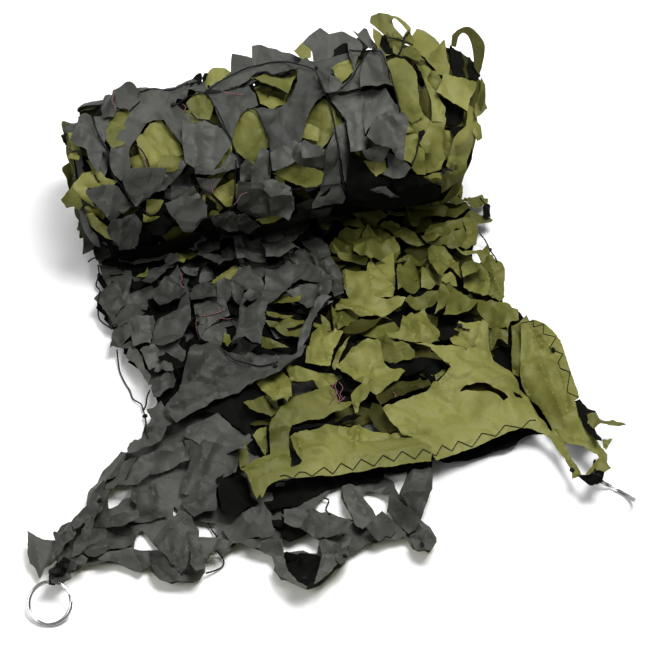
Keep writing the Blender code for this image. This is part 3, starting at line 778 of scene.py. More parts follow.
charcoal = cloth_finish(
    "charcoal_face", ((0.033, 0.035, 0.03), (0.055, 0.057, 0.049), (0.082, 0.084, 0.074)), 0.56, 0.03,
    GREY_SHEEN,
)
olive = cloth_finish(
    "olive_face", ((0.076, 0.078, 0.017), (0.128, 0.13, 0.031), (0.192, 0.192, 0.056)), 0.56, 0.03,
    GREEN_SHEEN,
)
# Painted shade: charcoal made near-black for hollows, gaps, the inner turns and the contact under the roll,
# where shade falls.
shaded = cloth_finish(
    "painted_shade_charcoal", ((0.004, 0.004, 0.004), (0.007, 0.007, 0.006), (0.011, 0.011, 0.01)), 0.8, 0.0,
    GREY_SHEEN, specular=0.06,
)
# Painted shade: olive made darker for leaves that lie in shade.
olive_shade = cloth_finish(
    "painted_shade_olive", ((0.03, 0.03, 0.006), (0.048, 0.047, 0.01), (0.066, 0.064, 0.016)), 0.65, 0.0,
    GREEN_SHEEN, specular=0.15,
)
# Upper faces are at the places that SIDES names, and each is followed by its lower face. The shaded and
# olive_shade finishes are painted shade.
BOTH_FACES = (charcoal, olive, charcoal, shaded, shaded, olive_shade, shaded)


# %% [markdown]
# The roll. The outer turn shows its charcoal face at the left and its olive face at the right, and olive
# leaves of the turn beneath show through the cuts. Each row below is one leaf: the face that shows, or black
# or shade where painted shade stands for a leaf in shade, how far it is lifted, and its corners, read from
# the photograph at the ends and bends of its cut edge. Leaves are laid in order, the lowest first.

# %% Leaves of the roll that face the viewer
ROLL_KNOTS = (
    (135, 207), (231, 209), (207, 92), (173, 105), (326, 95), (316, 68), (374, 50), (398, 57), (444, 172),
)
R = ROUND  # short, for the tables
ROLL_SKYLINE = (
    ("dark", 0, ((190, 86), (215, 80), (240, 73), (262, 66), (290, 63), (300, 70), (270, 80), (240, 92),
     (200, 98))),
    ("dark", 0, ((288, 64), (304, 61), (318, 62), (332, 58), (346, 54), (364, 51), (366, 62), (340, 74),
     (316, 80), (298, 76))),
    ("shade", 0, ((360, 52), (376, 48), (396, 50), (416, 46), (436, 50), (440, 66), (416, 70), (390, 68),
     (364, 66))),
)
ROLL_UNDER = (
    ("olive", 1, ((132, 112), (114, 112), (107, 126), (104, 138), (112, 150), (124, 145), (134, 124))),
    ("olive", 2, ((160, 120), (148, 127), (136, 139), (139, 152), (147, 170), (162, 170), (172, 159, 6),
     (184, 155, 8), (178, 140), (168, 128))),
    ("olive", 0, ((160, 156), (186, 150), (190, 164), (172, 172), (156, 172))),
    ("olive", 0, ((130, 158), (144, 154), (150, 170), (132, 172))),
    ("olive", 2, ((200, 90), (206, 80), (212, 70, 5, R), (225, 69, 5), (233, 75), (220, 86), (209, 92))),
    ("black", 1, ((192, 84), (199, 75), (210, 73), (210, 78), (203, 84), (198, 90))),
    ("olive", 3, ((197, 93), (206, 96), (214, 106), (210, 121), (202, 122), (190, 113), (186, 104))),
    ("olive", 1, ((182, 112), (192, 111), (203, 122), (192, 125), (183, 121))),
    ("olive", 2, ((243, 110, 2, R), (256, 110, 2, R), (264, 125), (270, 138), (269, 147), (262, 152),
     (256, 166), (246, 160), (234, 150), (230, 142), (234, 128), (240, 115))),
    ("olive", 1, ((232, 140), (224, 149), (215, 162), (211, 174), (221, 170), (232, 153))),
    ("olive", 1, ((254, 88), (262, 86), (274, 88), (285, 92), (289, 98), (285, 105), (272, 110), (260, 104))),
    ("olive", 3, ((252, 86, 5), (262, 85, 5), (275, 88, 5), (288, 95, 4), (294, 82), (300, 70), (268, 74),
     (256, 79))),
    ("olive", 2, ((302, 138), (304, 126), (310, 112), (315, 105), (322, 98), (327, 101), (332, 116),
     (335, 128), (331, 137), (327, 143), (321, 149), (312, 144))),
    ("olive", 3, ((318, 142, 5), (319, 128, 5), (303, 124), (302, 138, 3))),
    ("olive", 1, ((327, 99), (334, 104), (340, 117), (343, 122), (339, 129), (333, 125))),
    ("olive", 2, ((330, 66), (341, 57), (353, 51), (356, 62), (354, 74), (348, 80), (341, 84), (334, 75))),
    ("dark", 1, ((348, 52), (365, 50), (363, 62), (354, 74), (350, 64))),
    ("olive", 3, ((282, 168), (294, 162), (302, 166), (314, 168), (324, 172), (321, 184, 5), (308, 188, 6),
     (296, 184, 6), (282, 178, 5), (272, 173))),
    ("olive", 1, ((274, 175), (284, 178), (284, 190), (276, 186))),
    ("olive", 3, ((215, 188), (224, 184), (233, 179), (236, 190), (233, 206), (226, 206), (219, 199),
     (211, 192))),
    ("olive", 1, ((202, 195), (208, 191), (216, 200), (223, 207), (216, 215), (208, 215), (203, 206))),
    ("olive", 1, ((235, 184), (241, 181), (241, 192), (236, 198))),
    ("olive", 1, ((146, 199), (152, 198), (164, 200), (160, 208), (152, 216), (146, 214))),
    ("olive", 2, ((143, 213), (150, 216), (160, 216), (152, 221), (142, 220))),
    ("olive", 3, ((362, 160), (372, 161), (385, 160), (386, 170, 5), (376, 176, 6), (368, 168))),
    ("olive", 1, ((352, 152), (359, 151), (360, 159), (353, 160))),
    ("olive", 2, ((256, 218, 5), (272, 214), (286, 215), (272, 221, 5), (262, 223, 6))),
)
ROLL_LEFT_END = (
    ("olive", 3, ((86, 160), (92, 162), (101, 172), (106, 178), (118, 181), (113, 186), (99, 184),
     (92, 171))),
    ("olive", 4, ((76, 181), (82, 174), (92, 171), (97, 181), (104, 185), (97, 188), (88, 188), (86, 194),
     (92, 201), (94, 206), (80, 200), (71, 187))),
    ("olive", 6, ((72, 186), (61, 200, 10), (67, 208, 9), (73, 206, 8), (79, 210), (83, 205), (80, 198))),
    ("olive", 3, ((92, 204), (100, 206), (106, 213), (103, 219), (96, 215), (88, 212), (84, 206))),
    ("olive", 3, ((84, 214), (92, 212), (99, 220), (105, 224), (112, 232), (115, 240), (105, 237), (97, 231),
     (91, 225))),
    ("dark", 1, ((78, 208), (86, 214), (90, 228), (98, 236), (100, 246), (90, 240), (84, 230))),
    ("olive", 4, ((67, 158, 8), (70, 154, 8), (76, 153), (80, 157), (79, 161))),
    ("dark", 3, ((63, 130, 8), (70, 127, 7), (80, 127), (80, 138), (69, 137))),
    ("olive", 3, ((68, 134, 5), (76, 133), (80, 150), (72, 152, 4), (70, 144, 4))),
    ("dark", 2, ((98, 150), (108, 149), (108, 168), (104, 180), (97, 168))),
    ("dark", 5, ((80, 117, 5, R), (86, 114, 5, R), (92, 118), (99, 135), (109, 152), (103, 153), (98, 174),
     (90, 164), (86, 150, 7), (76, 146, 8), (70, 141, 8), (75, 128, 6, R))),
    ("dark", 3, ((94, 118), (104, 116), (110, 120), (108, 136), (104, 144), (98, 136))),
    ("dark", 5, ((114, 92), (105, 97, 6, R), (101, 110), (103, 119), (114, 118), (117, 112))),
)
ROLL_OUTER = (
    ("dark", 2, ((135, 91, 3), (146, 88, 4), (170, 90, 3), (185, 84, 3), (195, 83), (188, 96), (175, 104),
     (150, 108), (136, 104))),
    ("dark", 4, ((140, 97), (131, 112, 4, R), (122, 130, 4, R), (113, 146, 4, R), (109, 160, 5, R),
     (113, 173, 5, R), (121, 181), (128, 172, 4, R), (131, 163, 4, R), (129, 151, 4, R), (137, 139, 4, R),
     (145, 127, 4, R), (154, 121, 4), (164, 121), (170, 130, 4, R), (178, 140, 4, R), (186, 152), (191, 162),
     (192, 138), (190, 118), (178, 108), (172, 98), (160, 94), (148, 93))),
    ("dark", 5, ((186, 94), (196, 83), (208, 92), (214, 90, 5), (235, 89, 6), (249, 87, 6), (256, 98),
     (258, 106), (248, 110), (240, 116), (235, 128), (231, 142), (224, 130), (218, 118), (213, 105),
     (206, 95))),
    ("dark", 6, ((299, 70), (307, 66), (316, 71), (319, 78), (321, 88), (326, 95), (317, 101), (309, 114),
     (304, 128), (302, 138), (297, 150), (287, 162), (275, 166), (270, 152), (268, 138), (262, 124),
     (255, 109), (263, 108), (273, 110), (286, 105), (291, 97), (297, 82))),
    ("dark", 5, ((183, 121), (195, 125), (204, 122), (217, 126), (227, 133), (233, 144), (226, 152, 7),
     (220, 162, 9), (213, 170, 10), (196, 169, 9), (185, 163, 5), (182, 140))),
    ("dark", 5, ((194, 167), (213, 170), (228, 166), (238, 162), (239, 167), (228, 171), (213, 175),
     (195, 174))),
    ("dark", 4, ((220, 168), (231, 152), (238, 157), (240, 163), (228, 168))),
    ("dark", 2, ((196, 178), (210, 179), (222, 178), (214, 188), (210, 193), (202, 190))),
    ("dark", 3, ((163, 168), (176, 162), (188, 161), (182, 172), (172, 182), (164, 190), (154, 192),
     (164, 176))),
    ("dark", 4, ((171, 185), (193, 186), (198, 195), (188, 198), (171, 201))),
    ("dark", 5, ((165, 203), (178, 198), (190, 196), (198, 192), (207, 205), (207, 215, 7), (200, 222, 8),
     (192, 230, 8), (182, 230, 7), (176, 220), (168, 211))),
    ("dark", 4, ((240, 166), (247, 158), (253, 165), (252, 180), (240, 181))),
    ("dark", 6, ((251, 168), (256, 162), (258, 153), (262, 148), (272, 152), (271, 166), (269, 181),
     (251, 182))),
    ("dark", 3, ((238, 181), (262, 182), (270, 192), (272, 214), (246, 214), (237, 208), (236, 198))),
    ("dark", 4, ((268, 190), (284, 186), (294, 196), (294, 208), (288, 218), (270, 214))),
    ("dark", 3, ((270, 153), (284, 144), (297, 140), (305, 146), (300, 158), (292, 163), (282, 168),
     (272, 171))),
    ("dark", 6, ((211, 218), (222, 213), (233, 211), (237, 216), (238, 230, 8), (228, 230, 8), (216, 225))),
    ("dark", 5, ((237, 214), (245, 213), (252, 219), (260, 226), (248, 232), (237, 228))),
    ("dark", 5, ((86, 191, 5, R), (95, 187), (110, 184), (119, 187), (125, 196), (133, 206), (128, 209),
     (120, 214), (111, 222), (105, 214), (97, 206), (90, 199))),
    ("dark", 6, ((106, 229), (112, 221), (125, 216), (134, 213), (142, 222), (139, 236, 9), (137, 245, 11),
     (128, 248, 11), (120, 250, 11), (118, 243, 9), (110, 237))),
    ("dark", 6, ((122, 181), (128, 169, 8), (136, 168, 8), (167, 168, 10), (165, 177, 8), (158, 188),
     (150, 197), (142, 202), (136, 207), (132, 203), (127, 193))),
    ("dark", 3, ((254, 182), (272, 178), (290, 186), (292, 194), (270, 196))),
    ("dark", 4, ((295, 146), (304, 140), (318, 146), (330, 152), (328, 168), (312, 168), (300, 165),
     (293, 161))),
    ("dark", 6, ((301, 148, 7), (306, 143), (320, 147), (331, 153), (316, 157, 8), (302, 158, 9))),
    ("dark", 4, ((326, 149), (335, 131), (338, 146), (340, 165), (340, 184), (343, 190), (346, 197, 6),
     (342, 203, 7), (333, 203, 7), (312, 208, 8), (312, 202, 6), (320, 190), (323, 172))),
    ("dark", 4, ((331, 129), (337, 126), (345, 122), (348, 134), (349, 150), (352, 160), (350, 172),
     (348, 186), (344, 180), (341, 160), (338, 142))),
    ("black", 3, ((350, 150), (362, 158), (374, 176), (392, 178), (388, 192), (370, 200), (350, 198),
     (346, 186))),
    ("dark", 5, ((329, 94), (338, 91), (350, 90), (363, 92), (365, 106), (366, 118), (364, 136), (376, 142),
     (380, 149), (362, 150), (350, 152), (348, 134), (346, 122), (339, 112), (332, 103))),
    ("dark", 6, ((362, 151), (378, 146, 7), (391, 146, 8), (384, 160, 9), (380, 163, 9), (372, 161, 9),
     (365, 157))),
    ("dark", 4, ((386, 152), (398, 156), (411, 167), (404, 176), (392, 178), (382, 174), (388, 166))),
    ("dark", 5, ((362, 62), (362, 90), (346, 92), (334, 94), (342, 86), (352, 75))),
    ("dark", 5, ((362, 93), (372, 91), (386, 89), (391, 98), (398, 108), (402, 115), (386, 113), (376, 118),
     (365, 134), (363, 118), (364, 105))),
    ("dark", 8, ((375, 118, 6), (388, 111, 6), (402, 112), (409, 119), (406, 132), (405, 146), (403, 160),
     (397, 158), (391, 148, 12), (374, 143, 13), (366, 136, 12))),
    ("dark", 6, ((369, 53), (377, 50), (385, 56), (387, 64), (388, 76), (392, 86, 9), (385, 84, 12),
     (378, 88, 13), (371, 86, 13), (360, 88, 12), (360, 75), (363, 63))),
    ("dark", 4, ((317, 71), (329, 67), (331, 80), (329, 94), (323, 93), (319, 82))),
    ("dark", 4, ((330, 75), (337, 80), (342, 86), (337, 92), (329, 94))),
    ("dark", 5, ((207, 92), (222, 81), (240, 72), (262, 65), (276, 62), (290, 63), (302, 66), (300, 71),
     (290, 73), (275, 76), (268, 74), (262, 73), (250, 80), (240, 86), (225, 91))),
)
ROLL_OLIVE = (
    ("olive", 2, ((398, 112), (420, 112), (432, 122), (426, 132), (404, 134), (402, 150), (402, 160),
     (412, 168), (400, 168), (404, 132))),
    ("olive", 2, ((404, 118), (424, 116), (432, 120), (425, 131), (404, 133))),
    ("olive", 1, ((402, 134), (418, 133), (419, 146), (413, 164), (402, 158), (401, 145))),
    ("shade", 1, ((417, 92), (430, 88), (432, 112), (434, 122), (420, 118), (414, 108))),
    ("black", 2, ((418, 132), (424, 130), (426, 140), (420, 146))),
    ("olive", 2, ((444, 112), (456, 108), (466, 112), (466, 126), (456, 130), (444, 127))),
    ("olive", 1, ((440, 128), (452, 132), (455, 140), (450, 150), (448, 162), (442, 152))),
    ("black", 3, ((438, 96), (450, 100), (464, 110), (463, 120), (454, 126), (445, 122))),
    ("black", 3, ((450, 128), (463, 126), (461, 136), (453, 139))),
    ("shade", 1, ((438, 56), (450, 58), (456, 66), (456, 78), (446, 76))),
    ("black", 2, ((450, 46), (460, 54), (464, 64), (462, 80), (454, 76), (450, 62))),
    ("shade", 3, ((460, 52), (470, 60), (477, 68), (476, 80), (466, 80), (462, 66))),
    ("black", 4, ((468, 62), (477, 68), (480, 78), (474, 84), (468, 76))),
    ("olive", 3, ((409, 30), (420, 30, 4, R), (430, 35, 4, R), (438, 43, 4, R), (446, 54, 4, R), (450, 66),
     (448, 78), (438, 76), (430, 66), (424, 58), (416, 50), (404, 44), (403, 37))),
    ("olive", 3, ((428, 72), (437, 74), (443, 81), (437, 92), (431, 86), (426, 79))),
    ("olive", 4, ((416, 62), (426, 68), (431, 71), (427, 79), (432, 88), (438, 96), (445, 108), (445, 122),
     (432, 122), (431, 102), (426, 87), (419, 75))),
    ("olive", 5, ((431, 120), (446, 118), (443, 132), (442, 146), (445, 158), (440, 168, 4), (430, 172, 4),
     (424, 174, 4), (422, 160), (421, 148), (419, 143), (426, 131))),
    ("olive", 5, ((419, 146), (424, 150), (424, 164), (425, 174), (417, 174), (411, 167))),
    ("olive", 6, ((468, 104), (474, 110), (476, 124), (473, 138), (470, 152), (466, 162, 5), (454, 170, 4),
     (446, 166, 4), (450, 152), (453, 140), (458, 132), (466, 126))),
    ("olive", 4, ((474, 118), (480, 126, 6), (481, 138, 6), (477, 141, 6), (472, 132))),
    ("olive", 4, ((444, 171), (454, 171), (466, 162), (466, 169, 5), (459, 176, 5), (458, 181, 5),
     (450, 186, 5), (441, 192, 5), (441, 182))),
    ("olive", 4, ((422, 177), (430, 174), (442, 172), (440, 182), (432, 183, 6))),
    ("black", 3, ((398, 172), (422, 176), (436, 184), (440, 194), (420, 198), (402, 196), (392, 184))),
    ("olive", 5, ((387, 64), (395, 58), (404, 60), (412, 66), (417, 78), (418, 92), (419, 105), (424, 116),
     (412, 124), (402, 116), (397, 100), (391, 83))),
    ("olive", 3, ((386, 34), (400, 38), (406, 45), (400, 56), (393, 53), (388, 46))),
    ("olive", 5, ((398, 57), (404, 50, 7), (411, 47, 8), (420, 56, 7), (425, 63, 5), (412, 60), (404, 59))),
    ("olive", 12, ((436, 92, 13), (441, 84, 12), (443, 75, 11), (455, 77, 13), (466, 79, 15), (476, 83, 17),
     (475, 91, 18), (470, 99, 18), (467, 112, 17), (456, 105, 15), (447, 99, 14))),
    ("olive", 4, ((481, 78), (484, 88), (485, 105), (487, 109), (480, 116), (475, 118), (474, 108),
     (479, 95))),
)


# %% [markdown]
# Under the outer leaves the roll is many tight turns. They show only as dark depth in the gaps and at the
# ends, so they are one closed body with the solid's own form, coloured with the near-black painted shade. The
# outer turn is then laid on it leaf by leaf: small dark leaves, most of them painted shade, deep down first,
# then the rows above, and last the leaves that stand up along the top.

# %% The inner turns and the outer leaves
END_SLANT = 30.0  # millimetres that the roll's right end lies further in for each radius down from SLANT_FROM
SLANT_FROM = 0.35  # radii above the axis
SLANT_START, SLANT_BLEND = 90, 70  # millimetres: where the slant starts from the right end, and its blend
INNER_STEP, INNER_SIDES, INNER_GAP, HOLLOW_END = 6.0, 96, 13.0, 8  # millimetres, but for the number of sides


def roll_inner(material):
    """The turns under the outer leaves: the solid's own form, a little smaller, closed at its ends."""
    xs = np.arange(ROLL_LEFT + 10, ROLL_RIGHT - 16, INNER_STEP)
    arcs = np.linspace(-1.3, 2 * math.pi - 1.3, INNER_SIDES + 1)[:-1] * RollCarrier.ROUND
    grid_x, grid_arc = np.meshgrid(xs, arcs, indexing="ij")
    a, b = grid_x.ravel(), grid_arc.ravel()
    points = roll_ground.place(a, b, roll_ground.read(roll_ground.ground, a, b) - INNER_GAP)
    below = np.maximum(0.0, SLANT_FROM - np.sin(b / RollCarrier.ROUND))
    points[:, 0] -= END_SLANT * below * np.clip((a - ROLL_RIGHT + SLANT_START) / SLANT_BLEND, 0, 1)
    rows, columns = grid_x.shape
    faces = []
    for i in range(rows - 1):
        for j in range(columns):
            k = (j + 1) % columns
            faces.append((i * columns + j, (i + 1) * columns + j, (i + 1) * columns + k, i * columns + k))
    points = points.tolist()
    for row, x in ((0, xs[0] + HOLLOW_END), (rows - 1, xs[-1] - HOLLOW_END)):
        middle = len(points)
        points.append([x, AXIS_Y, float(roll_ground.axis_z(x))])
        for j in range(columns):
            here, there = row * columns + j, row * columns + (j + 1) % columns
            faces.append((middle, here, there) if row == 0 else (middle, there, here))
    obj = new_object("roll_inner_turns", points, faces=faces)
    face_outwards(obj.data)
    obj.data.materials.append(material)
    obj.data.uv_layers.new(name="cloth")
    obj.data.shade_smooth()
    return obj


# The inner turns take the near-black painted shade.
inner_turns = roll_inner(shaded)
ROLL_SHRINK = 4.0  # millimetres that the leaves start below the solid's face, for their own height
roll_ground.ground = blurred(roll_ground.ground, times=3) - ROLL_SHRINK
# Where the roll meets the floor, black leaves are painted shade for the shade under the roll.
ROLL_CONTACT = (
    ("black", 2, ((340, 176), (362, 180), (382, 182), (398, 178), (420, 180), (440, 188), (438, 197),
     (424, 201), (402, 206), (384, 209), (362, 206), (342, 204), (312, 209), (314, 200), (326, 190))),
    ("black", 2, ((206, 196), (240, 214), (280, 222), (312, 208), (306, 222), (280, 230), (250, 234),
     (216, 232), (200, 224))),
    ("black", 3, ((104, 236), (122, 248), (150, 244), (184, 238), (204, 230), (198, 240), (170, 252),
     (140, 256), (112, 252))),
    ("dark", 5, ((370, 189), (378, 186), (386, 186), (391, 192), (400, 196), (392, 197), (384, 193),
     (376, 192))),
    ("dark", 4, ((412, 186), (420, 180), (424, 186), (420, 196), (414, 194))),
)
STANDING = (
    # side, the pixel of the root, corners
    ("black", (345, 62), ((328, 64), (334, 50), (344, 44), (354, 45), (366, 48), (366, 60), (346, 62))),
    ("shade", (470, 102), ((464, 80), (474, 74), (482, 82), (485, 98), (481, 112), (470, 112))),
    ("dark", (241, 72), ((231, 74), (231, 62), (232, 54), (240, 55), (252, 58), (252, 76), (242, 82),
     (232, 84))),
    ("dark", (262, 66), ((251, 68), (252, 58), (252, 47), (260, 46, R), (268, 49), (276, 50), (282, 53),
     (290, 54), (302, 60), (304, 70), (290, 76), (276, 78), (264, 78), (252, 76))),
    ("olive", (308, 56), ((294, 51), (302, 43), (311, 50), (311, 58), (302, 60))),
    ("dark", (322, 64), ((302, 44), (309, 36), (320, 28), (329, 35), (335, 33, R), (342, 32, R), (349, 36),
     (356, 40), (362, 38), (372, 48), (366, 52), (352, 51), (346, 48), (338, 54), (332, 63), (322, 66),
     (314, 66), (312, 52))),
    ("dark", (372, 48), ((352, 30), (358, 34), (364, 28), (367, 29), (371, 40), (378, 49), (370, 51),
     (362, 42))),
    ("black", (388, 50), ((382, 37), (388, 36), (396, 38), (404, 40), (404, 52), (396, 56), (386, 54),
     (380, 46))),
    ("olive", (388, 56), ((373, 28), (380, 33), (386, 42), (387, 50), (392, 56), (384, 58), (377, 49),
     (373, 38))),
    ("olive", (396, 54), ((392, 37), (400, 38), (404, 46), (401, 57), (393, 54))),
    ("olive", (384, 40), ((370, 20), (371, 17), (379, 15), (388, 16), (394, 19), (392, 22), (394, 28),
     (403, 38), (396, 39), (384, 36), (378, 30), (374, 26), (370, 23))),
    ("olive", (404, 38), ((391, 17), (398, 18, R), (405, 22, R), (411, 28, R), (411, 31), (408, 32),
     (402, 25, R), (396, 20), (391, 19))),
    ("dark", (124, 110), ((113, 92), (121, 87), (127, 83, R), (133, 84, R), (139, 91), (137, 101), (131, 112),
     (121, 111), (116, 109), (112, 101))),
    ("shade", (478, 78), ((451, 46), (452, 36), (457, 31), (463, 29, R), (470, 30, R), (478, 37, R),
     (484, 46, R), (484, 56, R), (482, 66), (479, 76), (474, 68), (473, 56, R), (471, 46, R), (467, 37, R),
     (462, 34, R), (458, 38), (456, 47))),
)
roll_cloth = Cloth("roll_outer_turn", roll_ground, seed=4, knots=ROLL_KNOTS)
ROLL_DEPTHS = ((88, 134), (112, 110), (200, 92), (300, 74), (400, 58), (456, 70), (466, 110), (458, 156),
               (440, 190), (340, 204), (250, 234), (130, 244), (90, 200))
roll_cloth.fill_under(ROLL_DEPTHS, ("dark", "black", "black", "shade"), 19.0, (4.0, 9.0), seed=73)
for rows, amount in (
    (ROLL_SKYLINE, 0.2), (ROLL_CONTACT, 1.0), (ROLL_UNDER, 1.4), (ROLL_LEFT_END, 0.6), (ROLL_OLIVE, 1.4),
    (ROLL_OUTER, 1.3),
):
    roll_cloth.leaves(rows, amount=amount)
for side, root, corners in STANDING:
    roll_cloth.standing(side, root, corners)

# %% [markdown]
# The camera doesn't see the back of the roll, but the part is looked at from all sides. The leaves there
# follow the same cut: tongues with a round tip, in staggered rows, each lifted a little and turned its own
# way. The cloth turns from charcoal to olive at the same place along the roll as on the front.

# %% Leaves on the roll's far side
TOP_ARC, BACK_BOTTOM_ARC = 203.0, 352.0  # the arcs of the roll's back, in millimetres
TONGUE = (  # a corner's places across and along the leaf, and its share of the lift
    (-0.5, -0.55, 0.1), (0.5, -0.5, 0.1), (0.55, 0.0, 0.4), (0.34, 0.38, 0.8), (0.0, 0.56, 1.0),
    (-0.36, 0.36, 0.8), (-0.55, 0.0, 0.4),
)
FAR_PITCH, FAR_ROWS, FAR_SHIFT = 27, 21, 12  # millimetres along the roll, round it, and from row to row
FAR_WANDER, FAR_LENGTHS, FAR_GRAIN = (7, 6), (30, 46), 4.6  # millimetres
INSET_TOP, INSET_LEFT, INSET_RIGHT = 38, 22, 24  # millimetres from an end to the nearest leaf's middle
FACE_CHANGES_AT, FACE_WANDER = 116, 18  # millimetres: the x from which the olive face shows
INSET_TO, LIFTS_FROM, OTHER_FACE_FROM = TOP_ARC + 34, TOP_ARC + 40, TOP_ARC + 50  # arcs, in millimetres


def tongue(x, y, length, width, turn, lift, chance):
    """A crescent-cut leaf: a wide foot, round sides and a tip that stands highest."""
    corners = []
    for k, (across, along, up) in enumerate(TONGUE):
        u = across * width * chance.uniform(0.85, 1.12)
        v = along * length * chance.uniform(0.85, 1.12)
        place = (
            x + u * math.cos(turn) - v * math.sin(turn), y + u * math.sin(turn) + v * math.cos(turn),
            up * lift * chance.uniform(0.6, 1.3),
        )
        corners.append((*place, ROUND) if k > 1 and chance.random() < 0.6 else place)
    return corners


def far_leaves(cloth, first_arc, last_arc, seed):
    """Staggered rows of tongues, laid in a mixed order so that each may lie over any neighbour."""
    chance = random.Random(seed)
    steps_along = int((ROLL_RIGHT - ROLL_LEFT - 16) / FAR_PITCH)
    steps_round = int((last_arc - first_arc) / FAR_ROWS)
    spots = [(i, j) for i in range(steps_along + 1) for j in range(steps_round + 1)]
    chance.shuffle(spots)
    wander_x, wander_arc = FAR_WANDER
    for i, j in spots:
        x = ROLL_LEFT + 10 + FAR_PITCH * i + (j % 2) * FAR_SHIFT + chance.uniform(-wander_x, wander_x)
        arc = first_arc + FAR_ROWS * j + chance.uniform(-wander_arc, wander_arc)
        beyond_change = x > FACE_CHANGES_AT + chance.uniform(-FACE_WANDER, FACE_WANDER)
        other_face = chance.random() < 0.2 and arc > OTHER_FACE_FROM
        side = "olive" if beyond_change != other_face else "dark"
        highest = 9 if arc > LIFTS_FROM else 4
        turn = chance.gauss(0, 0.7) + (math.pi if chance.random() < 0.3 else 0)
        length = chance.uniform(*FAR_LENGTHS)
        x = min(max(x, ROLL_LEFT + (INSET_TOP if arc < INSET_TO else INSET_LEFT)), ROLL_RIGHT - INSET_RIGHT)
        width = length * chance.uniform(0.6, 0.95)
        corners = tongue(x, arc, length, width, turn, chance.uniform(2, highest), chance)
        cloth.leaf(side, corners, belly=2.5, grain=FAR_GRAIN)


far_leaves(roll_cloth, TOP_ARC, BACK_BOTTOM_ARC, seed=21)
outer_turn, outer_area = roll_cloth.make()

# %% [markdown]
# At each end of the roll the edges of its turns show: a wavy spiral of cloth, charcoal on one side and
# olive on the other. One ribbon follows the spiral, with waves that grow towards the outside.

# %% Spiral edges at the roll's ends
RUFFLE_TURNS, RUFFLE_POINTS = 5.5, 5  # turns of the spiral, and points across the ribbon
RUFFLE_HUB, RUFFLE_WIDTH = 9, 22  # millimetres
STEPS_PER_TURN = 84


def end_ruffle(name, x_end, outward, seed):
    """A wavy ribbon along a spiral, from RUFFLE_HUB millimetres off the axis to the outer turn."""
    chance = random.Random(seed)
    waves = [(chance.uniform(5, 17), chance.uniform(0, 6), chance.uniform(0.5, 1.0)) for _ in range(5)]
    outer = float(roll_ground.read(roll_ground.ground, [x_end - outward * 16], [60.0])[0]) - 3
    steps = int(RUFFLE_TURNS * STEPS_PER_TURN)
    points, faces, flats = [], [], []
    for i in range(steps + 1):
        angle = 2 * math.pi * RUFFLE_TURNS * i / steps
        share = i / steps
        radius = RUFFLE_HUB + (outer - RUFFLE_HUB) * share
        wobble = sum(size * math.sin(count * angle / 3 + start) for count, start, size in waves)
        for j in range(RUFFLE_POINTS):
            t = j / (RUFFLE_POINTS - 1)
            out = radius + t * (2.2 * wobble + 3 * math.sin(angle * 2.3)) + 1.2 * math.sin(angle * 7 + 2 * t)
            x = x_end + outward * (t * (10 + 2.1 * wobble) - 14 - 2 * (1 - share))
            if outward > 0:
                x -= END_SLANT * max(0.0, SLANT_FROM - math.sin(angle)) * share
            down = 1 - 0.06 * max(0.0, -math.sin(angle))
            z = float(roll_ground.axis_z(x_end)) + out * math.sin(angle) * down
            points.append((x, AXIS_Y - out * math.cos(angle), z))
            flats.append((angle * radius, t * RUFFLE_WIDTH))
        if i:
            for here in range(i * RUFFLE_POINTS, (i + 1) * RUFFLE_POINTS - 1):
                faces.append((here - RUFFLE_POINTS, here, here + 1, here - RUFFLE_POINTS + 1))
    obj = new_object(name, points, faces=faces)
    mesh = obj.data
    for material in BOTH_FACES[:3]:
        mesh.materials.append(material)
    chosen = [int(math.sin(k / 151) + 0.7 * math.sin(k / 67) > 0.2) for k in range(len(faces))]
    mesh.polygons.foreach_set("material_index", np.array(chosen, np.int32))
    layer = mesh.uv_layers.new(name="cloth")
    for loop in mesh.loops:
        layer.data[loop.index].uv = [value * MM for value in flats[loop.vertex_index]]
    area = sum(polygon.area for polygon in mesh.polygons)
    thicken(obj)
    plain(obj)
    print(f"{name}: {area * 1e4:.0f} cm2 of ribbon")
    return obj, area


left_ruffle, left_ruffle_area = end_ruffle("roll_left_edges", ROLL_LEFT + 5, -1, seed=5)
right_ruffle, right_ruffle_area = end_ruffle("roll_right_edges", ROLL_RIGHT - 14, 1, seed=8)

# %% [markdown]
# The lower layer of the loose end lies on the floor with its charcoal face up. It is one sheet: its outline
# and the open crescents in it are cut as one face with holes, and the loose leaves, bunched hem corners
# and the strand to the ring lie on it.

